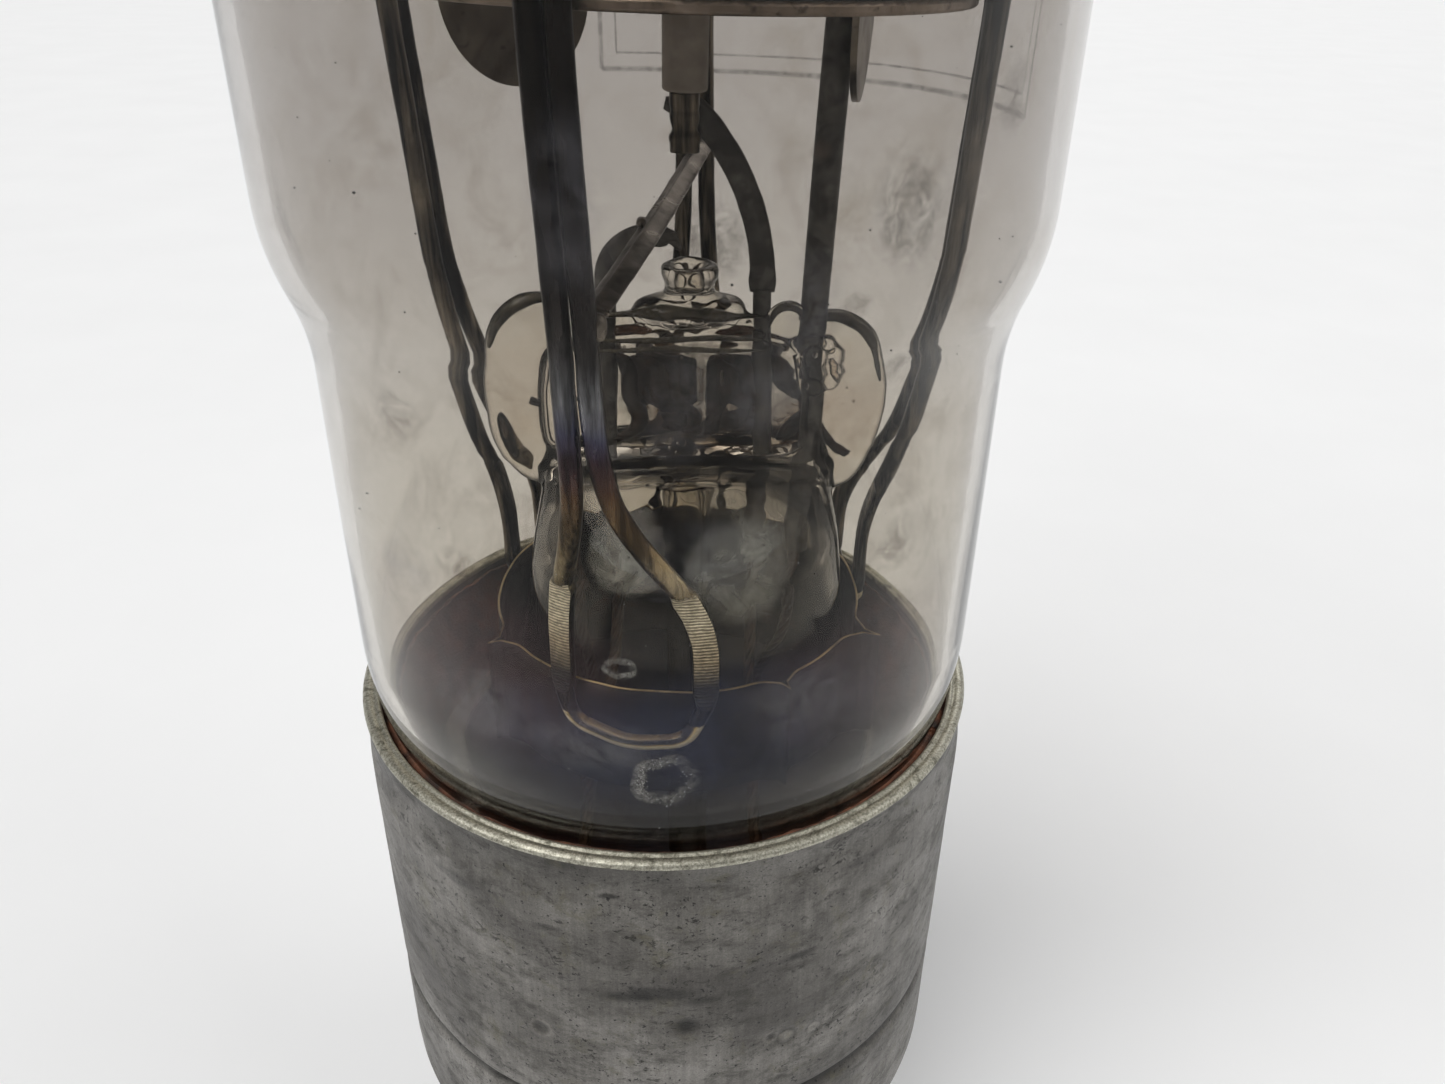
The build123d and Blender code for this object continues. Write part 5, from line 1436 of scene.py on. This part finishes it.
def make_collar():
    """Thin band folded round the stem, with pinched ears where its strips are welded together, and a bead of
    painted highlight along its top edge.
    """
    line = []
    for step in range(720):
        azimuth = -180 + step / 2
        reach = 0.0
        for ear, length in EARS:
            off = abs((azimuth - ear + 180) % 360 - 180)
            tip = max(0.0, 1 - off / 1.1) ** 0.6
            root = 0.5 * math.exp(-(off / 4.2) ** 2)
            reach = max(reach, length * tip, root * length)
        base = on_circle(azimuth, COLLAR_R + reach, 0, COLLAR_X)
        sway = 0.16 * wobble(base, 6.0, 2.0)
        line.append(on_circle(azimuth, COLLAR_R + reach + sway, 0, COLLAR_X))
    wall = COLLAR_WALL
    rows = (COLLAR_LOW, COLLAR_LOW + 3, COLLAR_LOW + 6, COLLAR_TOP - 2, COLLAR_TOP - 0.25)
    rings = []
    for side, heights in ((wall, rows), (0, rows[::-1])):
        for height in heights:
            ring = []
            for point in line:
                here = Vector((point.x, point.y, height))
                out = from_collar(point)
                ring.append(here + out * side + out * 0.1 * wobble(here, 4.0, 7.0))
            rings.append(ring)
    points, faces = skin(rings, closed=True)
    make_piece("collar_band", points, faces, collar_metal, ("stem_collar",))

    # Bead along the top edge, in the pale colour of a painted highlight
    rings = []
    for point in line:
        out = from_collar(point)
        dip = 0.12 * wobble(point, 3.0, 4.0)
        edge = Vector((point.x, point.y, COLLAR_TOP - 0.20 + dip))
        ring = []
        for side in range(8):
            angle = 2 * math.pi * side / 8
            lift = Vector((0, 0, 0.07 * math.sin(angle)))
            ring.append(edge + out * (wall / 2 + 0.10 * math.cos(angle)) + lift)
        rings.append(ring)
    points, faces = skin(rings, closed=True)
    make_piece("collar_edge", points, faces, collar_edge_highlight)


make_collar()


# ---------------------------------------------------------------- curved straps, ferrule and ribbon
HEATER_X = 8.35
GRID_X = -4.9
LEAD_Y = 0.4


def circle_through(a, b, c, steps):
    """Points of the arc through three points in the XZ plane."""
    (ax, az), (bx, bz), (cx, cz) = a, b, c
    d = 2 * (ax * (bz - cz) + bx * (cz - az) + cx * (az - bz))
    ux = ((ax**2 + az**2) * (bz - cz) + (bx**2 + bz**2) * (cz - az) + (cx**2 + cz**2) * (az - bz)) / d
    uz = ((ax**2 + az**2) * (cx - bx) + (bx**2 + bz**2) * (ax - cx) + (cx**2 + cz**2) * (bx - ax)) / d
    radius = math.hypot(ax - ux, az - uz)
    first = math.atan2(az - uz, ax - ux)
    total = (math.atan2(cz - uz, cx - ux) - first + math.pi) % (2 * math.pi) - math.pi
    points = []
    for step in range(steps + 1):
        angle = first + total * step / steps
        points.append((ux + radius * math.cos(angle), uz + radius * math.sin(angle)))
    return points


def make_straps():
    """The two dark straps, one to each side of the centre lead."""
    heater = [(0.2, 51.3)] + circle_through((2.7, 50.7), (6.55, 45.2), (HEATER_X, 38.0), 24)
    heater.append((HEATER_X, 36.2))
    route = resampled([Vector((x, LEAD_Y, z)) for x, z in heater], 0.35)
    length = len(route) - 1

    def heater_section(i, point):
        crimp = math.exp(-((point.z - 37.2) / 0.8) ** 2)
        taper = min(1.0, 0.45 + i / 9)
        dent = 0.05 * wobble(point, 1.6, 3.0)
        return 1.08 * taper + 0.12 * crimp + dent, 0.42 + 0.22 * crimp + dent, 3.4

    points, faces = sweep(route, heater_section, toward_back, 20, lambda i: 0.35 * math.sin(3 * i / length))
    make_piece("heater_strap_bent", points, faces, dark_lead, ("heater_strap",))

    grid = [(GRID_X, 36.0)] + circle_through((GRID_X, 37.2), (-3.8, 40.0), (-1.2, 41.1), 18)
    grid += [(0.6, 40.9), (1.3, 39.9)]
    route = resampled([Vector((x, LEAD_Y, z)) for x, z in grid], 0.3)
    length_grid = len(route) - 1

    def grid_section(i, point):
        taper = min(1.0, 0.15 + (length_grid - i) / 8)
        dent = 0.05 * wobble(point, 1.4, 6.0)
        return 0.92 * taper + dent, 0.42 * min(1, taper + 0.3) + dent, 3.0

    def grid_turn(i):
        return 0.25 * math.sin(4 * i / length_grid)

    points, faces = sweep(route, grid_section, toward_back, 20, grid_turn)
    make_piece("grid_strap_bent", points, faces, dark_lead, ("grid_strap",))


def make_ferrule():
    """Crimped tube that joins the strap to the centre lead."""
    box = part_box("heater_ferrule")
    x = (box[0][0] + box[1][0]) / 2 / MM
    y = (box[0][1] + box[1][1]) / 2 / MM
    low = to_rim(box[0][2])
    high = to_rim(box[1][2])
    route = resampled([Vector((x, y, high)), Vector((x, y, low))], 0.12)

    def section(i, point):
        share = (high - point.z) / (high - low)
        squeeze = 0.16 * math.exp(-((share - 0.62) / 0.09) ** 2)
        squeeze += 0.08 * math.exp(-((share - 0.3) / 0.05) ** 2)
        swell = 0.10 * math.exp(-((share - 0.75) / 0.08) ** 2)
        dent = 0.05 * wobble(point, 0.9, 5.0)
        return 1.16 - squeeze + swell + dent, 0.98 - 0.5 * squeeze + dent, 2.8

    points, faces = sweep(route, section, toward_back, 28)
    make_piece("ferrule_crimped", points, faces, grey_support, ("heater_ferrule",))


def make_ribbon():
    """Two-ply ribbon from the front support to the back one, with welds at the ends and middle."""
    front = Vector((-4.7, -20.6, 41.0))
    back = Vector((4.1, 21.2, 45.3))
    parts = []
    for offset, half, lean in ((0.42, 0.72, 0.25), (-0.62, 0.40, -0.35)):
        aside = Vector((offset, 0, 0.25 * offset))
        sag = Vector((0.1, 0, -0.2))
        route = resampled(bent([front + aside, front.lerp(back, 0.5) + aside + sag, back + aside], 12.0), 0.5)
        count = len(route) - 1

        def section(i, point, half=half):
            dent = 0.06 * wobble(point, 2.5, 2.0 + half)
            return half + dent, 0.13, 3.0

        def turn(i, lean=lean, count=count):
            return lean + 0.3 * math.sin(2.5 * i / count)

        parts.append(sweep(route, section, upward, 16, turn))
    points, faces = joined(parts)
    make_piece("ribbon_two_ply", points, faces, ribbon_metal, ("tie_ribbon",))

    blobs = []
    for centre, half in (
        (Vector((-4.7, -20.9, 40.2)), (1.0, 0.7, 1.15)),
        (front.lerp(back, 0.42) + Vector((-0.7, 0, 0.1)), (0.45, 0.9, 0.4)),
        (back, (0.8, 0.8, 0.8)),
    ):
        lump_points, lump_faces = pillow(centre, half, 2.3, 20.0)
        lump_points = [p + (p - centre).normalized() * 0.14 * wobble(p, 0.8, 3.0) for p in lump_points]
        blobs.append((lump_points, lump_faces))
    points, faces = joined(blobs)
    make_piece("ribbon_welds", points, faces, ribbon_metal)


make_straps()
make_ferrule()
make_ribbon()


# ---------------------------------------------------------------- deposits on the glass, with painted flare and shine
BULB_HAZE = (  # azimuth, height, half-width, half-height
    (2.0, 37.0, 2.6, 4.6), (11.8, 37.6, 2.2, 2.4), (17.6, 44.0, 3.0, 3.6), (14.0, 39.0, 3.0, 5.0),
    (6.0, 25.6, 5.6, 3.6), (-11.0, 9.6, 6.0, 3.0), (-32.0, 11.6, 5.0, 4.0), (22.0, 12.4, 6.0, 3.4),
    (-45.0, 21.5, 4.0, 2.6), (-10.0, 49.6, 3.0, 6.0),
)
BULB_SMUDGES = (  # these lists all hold the same four values
    (-33.0, 23.4, 2.4, 1.6), (46.0, 54.5, 2.0, 2.6), (23.5, 43.6, 1.3, 1.0), (33.6, 38.8, 2.2, 1.2),
    (17.3, 52.7, 0.8, 0.6), (-42.0, 34.0, 3.0, 2.6), (38.0, 24.0, 3.0, 2.6), (60.0, 40.0, 4.0, 5.0),
    (-70.0, 44.0, 4.0, 5.0), (120.0, 40.0, 6.0, 6.0), (-150.0, 60.0, 7.0, 8.0), (170.0, 34.0, 6.0, 5.0),
)
STEM_CLOUDS = ((21.0, 16.0, 4.9, 4.7), (-27.0, 16.8, 3.8, 3.2), (150.0, 12.0, 9.0, 5.0))
STRAND_STAINS = ((0.2, 28.2, 4.8, 4.2), (3.8, 27.6, 3.4, 4.4), (7.4, 27.6, 3.4, 4.2), (11.2, 25.6, 3.0, 3.4))
# Patches of painted flare low in the bulb.
VIOLET_FLARE = ((-38.0, 14.0, 16.0, 9.0), (42.0, 13.0, 14.0, 8.0))
BLUE_FLARE = ((-13.0, 9.0, 12.0, 6.5), (14.0, 10.5, 12.0, 7.0))
FRAME_LEFT = 88.0  # azimuths and heights of the ruled frame printed on the back
FRAME_RIGHT = 191.0
FRAME_LOW = 50.6
FRAME_HIGH = 72.0
RESIDUE = (-0.6, 6.8, 1.9, 2.0)  # azimuth, height, half-width, half-height of a dried splash
# Pale ring painted as the highlight round a droplet: azimuth, height, half-width, half-height.
DROPLET_SHINE = (-7.2, 17.0, 0.95, 0.72)
FILM_INSET = 0.4  # keeps the films clear of the uneven inner face of the glass


def inner_wall(height):
    """Radius of the bulb's inner face."""
    share = clamp((height - SHOULDER_Z) / SHOULDER_HEIGHT)
    return NECK_R - GLASS_WALL + (BULB_R - NECK_R) * share * share * (3 - 2 * share)


def film_patch(where, half_width, half_height, power=1.2, cells=14):
    """Grid of points with a fade that falls to nothing at its oval edge, faster for a low power."""
    points = []
    fades = []
    faces = []
    row = cells + 1
    for j in range(row):
        for i in range(row):
            u = 2 * i / cells - 1
            v = 2 * j / cells - 1
            points.append(where(u * half_width, v * half_height))
            fades.append(max(0.0, 1 - u * u - v * v) ** power)
    for j in range(cells):
        for i in range(cells):
            corner = j * row + i
            faces.append((corner, corner + 1, corner + row + 1, corner + row))
    return points, faces, fades


def strip_patch(where, route, half_width, weight=None):
    """Strip along a route of (aside, up); it fades across, and by weight(share of its length)."""
    points = []
    fades = []
    faces = []
    rows = 6
    last = len(route) - 1
    for i, (x, z) in enumerate(route):
        before = route[max(i - 1, 0)]
        after = route[min(i + 1, last)]
        run = Vector((after[0] - before[0], after[1] - before[1])).normalized()
        strong = weight(i / last) if weight else 1.0
        for j in range(rows + 1):
            v = 2 * j / rows - 1
            points.append(where(x - run.y * half_width * v, z + run.x * half_width * v))
            fades.append((1 - v * v) * strong)
    for i in range(last):
        for j in range(rows):
            corner = i * (rows + 1) + j
            faces.append((corner, corner + 1, corner + rows + 2, corner + rows + 1))
    return points, faces, fades


def make_film(name, patches, material):
    """A piece of thin film, with the fade of each patch in its "fade" layer."""
    parts = joined([(points, faces) for points, faces, fades in patches])
    film = make_piece(name, parts[0], parts[1], material)
    layer = film.data.color_attributes.new("fade", "FLOAT_COLOR", "POINT")
    for i, fade in enumerate(fade for points, faces, fades in patches for fade in fades):
        layer.data[i].color = (fade, fade, fade, 1.0)


def on_wall(azimuth, height, radius_at, centre_x=0.0):
    """Turns distances aside and up from a spot on a round wall into points."""
    def where(aside, up):
        radius = radius_at(height + up)
        return on_circle(azimuth + math.degrees(aside / radius), radius, height + up, centre_x)

    return where


def bulb_film_radius(height):
    """Just inside the bulb."""
    return inner_wall(height) - FILM_INSET


def flare_film_radius(height):
    """A little inside the other films, so that they never lie in one surface."""
    return inner_wall(height) - FILM_INSET - 0.3


def stem_film_radius(height):
    """Just inside the flare."""
    return flare_at(height)[0] - STEM_WALL - 0.3


def in_press(x, z):
    """The same for the flat plane just behind the strands in the press."""
    return lambda aside, up: Vector((x + aside, STRAND_Y + 0.9, z + up))


def make_deposits():
    """Vapour haze and smudges inside the bulb and the stem, brown stain round the press strands, and violet
    and blue films of painted flare low in the bulb.
    """
    for name, patches, material in (
        ("bulb_haze", BULB_HAZE, pale_haze),
        ("bulb_smudges", BULB_SMUDGES, brown_haze),
    ):
        films = [film_patch(on_wall(az, z, bulb_film_radius), w, h) for az, z, w, h in patches]
        make_film(name, films, material)
    clouds = [film_patch(on_wall(az, z, stem_film_radius, 1.8), w, h, 0.5) for az, z, w, h in STEM_CLOUDS]
    make_film("stem_clouds", clouds, stem_cloud)
    stains = [film_patch(in_press(x, z), w, h, 0.6) for x, z, w, h in STRAND_STAINS]
    make_film("press_stain", stains, press_stain)
    for name, patches, material in (
        ("violet_flare", VIOLET_FLARE, violet_flare),
        ("blue_flare", BLUE_FLARE, blue_flare),
    ):
        films = [film_patch(on_wall(az, z, flare_film_radius), w, h, 0.8) for az, z, w, h in patches]
        make_film(name, films, material)


def uneven_loop(half_width, half_height, unevenness, phase, steps=72):
    """Closed loop round an oval, going in and out by a share of its size."""
    route = []
    for i in range(steps + 1):
        angle = 2 * math.pi * i / steps
        reach = 1 + unevenness * (math.sin(2 * angle + phase) + 0.7 * math.sin(5 * angle + 2 * phase))
        route.append((half_width * reach * math.cos(angle), half_height * reach * math.sin(angle)))
    return route


def make_frost():
    """Dried splash on the neck, heavier on its left, a pale ring painted as the shine round a droplet, and a
    scuff near the edge.
    """
    azimuth, height, half_width, half_height = RESIDUE
    splash = strip_patch(
        on_wall(azimuth, height, bulb_film_radius),
        uneven_loop(half_width, half_height, 0.11, 0.9),
        0.62,
        lambda share: 0.26 + 0.62 * math.sin(math.pi * share) ** 2,
    )
    azimuth, height, half_width, half_height = DROPLET_SHINE
    ring = strip_patch(
        on_wall(azimuth, height, bulb_film_radius),
        uneven_loop(half_width, half_height, 0.06, 2.0),
        0.34,
        lambda share: 0.45 + 0.35 * math.sin(3 * math.pi * share) ** 2,
    )
    scuff = strip_patch(on_wall(59.5, 5.4, bulb_film_radius), uneven_loop(0.5, 1.5, 0.0, 0.0, 60), 0.22)
    make_film("glass_frost", [splash, ring, scuff], frost)


def make_frame():
    """Ruled frame printed on the back of the bulb: a heavy line, with a fine one inside it."""
    centre = (FRAME_LEFT + FRAME_RIGHT) / 2
    half_width = math.radians(FRAME_RIGHT - FRAME_LEFT) / 2 * inner_wall(FRAME_HIGH)
    half_height = (FRAME_HIGH - FRAME_LOW) / 2
    middle = (FRAME_HIGH + FRAME_LOW) / 2
    strips = []
    for inset, half_line in ((0.0, 0.30), (1.5, 0.14)):
        x = half_width - inset
        z = half_height - inset
        for start, end in (((-x, -z), (x, -z)), ((x, -z), (x, z)), ((x, z), (-x, z)), ((-x, z), (-x, -z))):
            steps = 40
            route = [
                (start[0] + (end[0] - start[0]) * i / steps, start[1] + (end[1] - start[1]) * i / steps)
                for i in range(steps + 1)
            ]
            strips.append(strip_patch(on_wall(centre, middle, bulb_film_radius), route, half_line))
    make_film("printed_frame", strips, ink)


GRAINS_IN_RESIDUE = 120
GRAINS_ON_NECK = 140
SPECKS = 160


def make_crystals():
    """Pale grains in the dried splash and over the neck, and dark specks up the bulb."""
    parts = []

    def grain_at(azimuth, height, size):
        centre = on_circle(azimuth, inner_wall(height) - 0.3, height)
        points, faces = pillow(centre, (size, size, size), 2.0, 0.0, 5, 7)
        parts.append(([p + (p - centre) * 0.5 * wobble(p, 0.2, 3.0) for p in points], faces))

    azimuth, height, half_width, half_height = RESIDUE
    for _ in range(GRAINS_IN_RESIDUE):
        turn = math.radians(random.gauss(170, 80))
        reach = 1 + random.gauss(0, 0.12)
        aside = half_width * reach * math.cos(turn)
        grain_at(
            azimuth + math.degrees(aside / NECK_R), height + half_height * reach * math.sin(turn),
            random.uniform(0.02, 0.05),
        )
    for _ in range(GRAINS_ON_NECK):
        grain_at(random.uniform(-75, 75), random.uniform(2, 27), random.uniform(0.015, 0.045))
    points, faces = joined(parts)
    make_piece("glass_crystals", points, faces, crystal)

    parts.clear()
    for _ in range(SPECKS):
        height = random.uniform(20, 110)
        grain_at(random.uniform(-180, 180), height, random.uniform(0.03, 0.09))
    points, faces = joined(parts)
    make_piece("glass_specks", points, faces, graphite)


make_deposits()
make_frost()
make_frame()
make_crystals()


# ---------------------------------------------------------------- stranded leads in the base
PIN_CIRCLE_R = 15.875
LEADS = ((-8.8, 135), (GRID_X, 225), (HEATER_X, 315), (12.2, 45))  # X in the press, angle of the pin


def make_base_leads():
    """Four stranded leads, each from the press to its pin."""
    parts = []
    for start_x, pin_angle in LEADS:
        pin = Vector((math.cos(math.radians(pin_angle)), math.sin(math.radians(pin_angle)), 0)) * PIN_CIRCLE_R
        route = [
            (start_x, LEAD_Y, 12.0),
            (start_x, LEAD_Y, 2.0),
            (0.7 * pin.x, 0.7 * pin.y, -13.0),
            (pin.x, pin.y, -38.0),
            (pin.x, pin.y, -71.8),
        ]
        parts.append(twisted(resampled(bent(route, 6.0), 0.5), 0.6, 4, 6.0))
    points, faces = joined(parts)
    make_piece("base_leads_stranded", points, faces, base_lead, ("base_lead_wires",))


make_base_leads()

boxes = {"cad": cad_box, "visual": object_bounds()}
{name: [list(corner) for corner in box] for name, box in boxes.items()}
